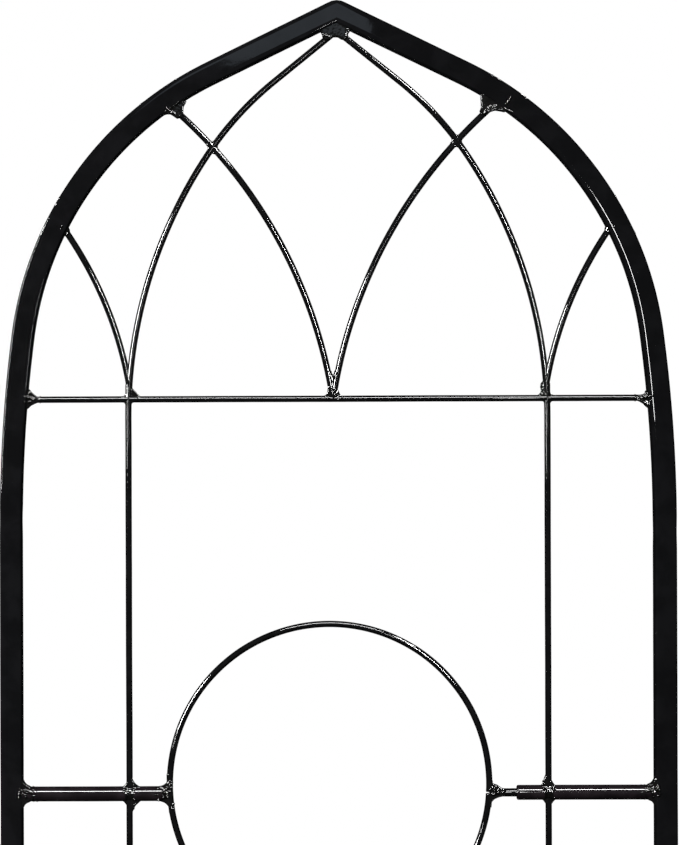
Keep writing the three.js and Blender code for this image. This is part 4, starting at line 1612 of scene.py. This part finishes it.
def add_camera(scene):
    """A long lens, level and square to the panel, a little left of its middle."""
    distance = 2.78
    height = 1.0992
    aside = -0.085
    aim = 0.0012
    roll = math.radians(0.19)
    data = bpy.data.cameras.new("camera")
    data.lens = 140.55
    data.sensor_width = 36
    data.clip_start = 0.05
    data.clip_end = 50
    seen_height = data.sensor_width / data.lens * distance
    data.shift_x = (aim - aside) / seen_height
    camera = bpy.data.objects.new("camera", data)
    camera.location = (aside, -TUBE / 2 - distance, height)
    camera.rotation_euler = (math.pi / 2, roll, 0)
    scene.collection.objects.link(camera)
    scene.camera = camera


class TRELLIS_OT_stage(bpy.types.Operator):
    """A pale floor, studio lights and the camera"""

    bl_idname = "trellis.stage"
    bl_label = "Stage"

    def execute(self, context):
        scene = context.scene
        floor_radius = 2.4
        floor_height = SPIKE_TIP - 0.5 * MM
        bm = bmesh.new()
        bmesh.ops.create_circle(bm, cap_ends=True, segments=96, radius=floor_radius)
        bmesh.ops.translate(bm, verts=bm.verts[:], vec=(0, 0.2, floor_height))
        mesh = bpy.data.meshes.new("floor")
        bm.to_mesh(mesh)
        bm.free()
        mesh.materials.append(floor_finish())
        floor = bpy.data.objects.new("floor", mesh)
        scene.collection.objects.link(floor)
        middle = (0, 0, 1.1)
        pieces = small_pieces()
        # Each light: its place, what it faces, width, height, watts, and the only pieces it lights.
        add_softbox("left", (-1.98, -1.76, 1.75), middle, 0.2, 1.0, 125, pieces)
        add_softbox("left_edge", (-1.98, -1.76, 1.62), middle, 0.08, 1.2, 40)
        add_softbox("upper_right", (1.40, -1.50, 2.95), middle, 0.6, 0.12, 45, pieces)
        add_softbox("right", (0.95, -2.6, 1.62), (0, 0, 1.2), 0.07, 0.8, 60, pieces)
        add_softbox("above", (0.1, -1.9, 2.75), (0, 0, 1.0), 1.5, 0.16, 70, pieces)
        add_softbox("edge", (0.38, -2.8, 1.24), (0, 0, 1.2), 0.05, 0.30, 2)
        window = add_softbox("window_top", (-0.10, -2.85, 1.83), (-0.06, 0, 1.42), 0.5, 0.22, 0.18)
        window.data.color = (0.75, 0.87, 1.0)
        light_world(scene)
        add_camera(scene)
        scene.view_settings.view_transform = "Standard"
        return {"FINISHED"}


# --- Sidebar panel --------------------------------------------------------------------------------

BUILDERS = [
    TRELLIS_OT_frame,
    TRELLIS_OT_rods,
    TRELLIS_OT_bars,
    TRELLIS_OT_ring,
    TRELLIS_OT_tubes,
    TRELLIS_OT_feet,
    TRELLIS_OT_welds,
    TRELLIS_OT_stage,
]


class TRELLIS_PT_panel(bpy.types.Panel):
    """Lists the operators that build the trellis"""

    bl_label = "Trellis Arch"
    bl_idname = "TRELLIS_PT_panel"
    bl_space_type = "VIEW_3D"
    bl_region_type = "UI"
    bl_category = "Trellis"

    def draw(self, context):
        column = self.layout.column()
        for builder in BUILDERS:
            column.operator(builder.bl_idname)


GROUPS = [TrellisSizes, TrellisPaint]


def register():
    for item in [*GROUPS, *BUILDERS, TRELLIS_PT_panel]:
        bpy.utils.register_class(item)
    bpy.types.Scene.trellis_sizes = bpy.props.PointerProperty(type=TrellisSizes)
    bpy.types.Scene.trellis_paint = bpy.props.PointerProperty(type=TrellisPaint)


def unregister():
    del bpy.types.Scene.trellis_paint
    del bpy.types.Scene.trellis_sizes
    for item in reversed([*GROUPS, *BUILDERS, TRELLIS_PT_panel]):
        bpy.utils.unregister_class(item)


def main():
    register()
    noise.seed_set(NOISE_SEED)
    for builder in BUILDERS:
        category, name = builder.bl_idname.split(".")
        getattr(getattr(bpy.ops, category), name)()
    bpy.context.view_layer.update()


if __name__ == "__main__":
    main()
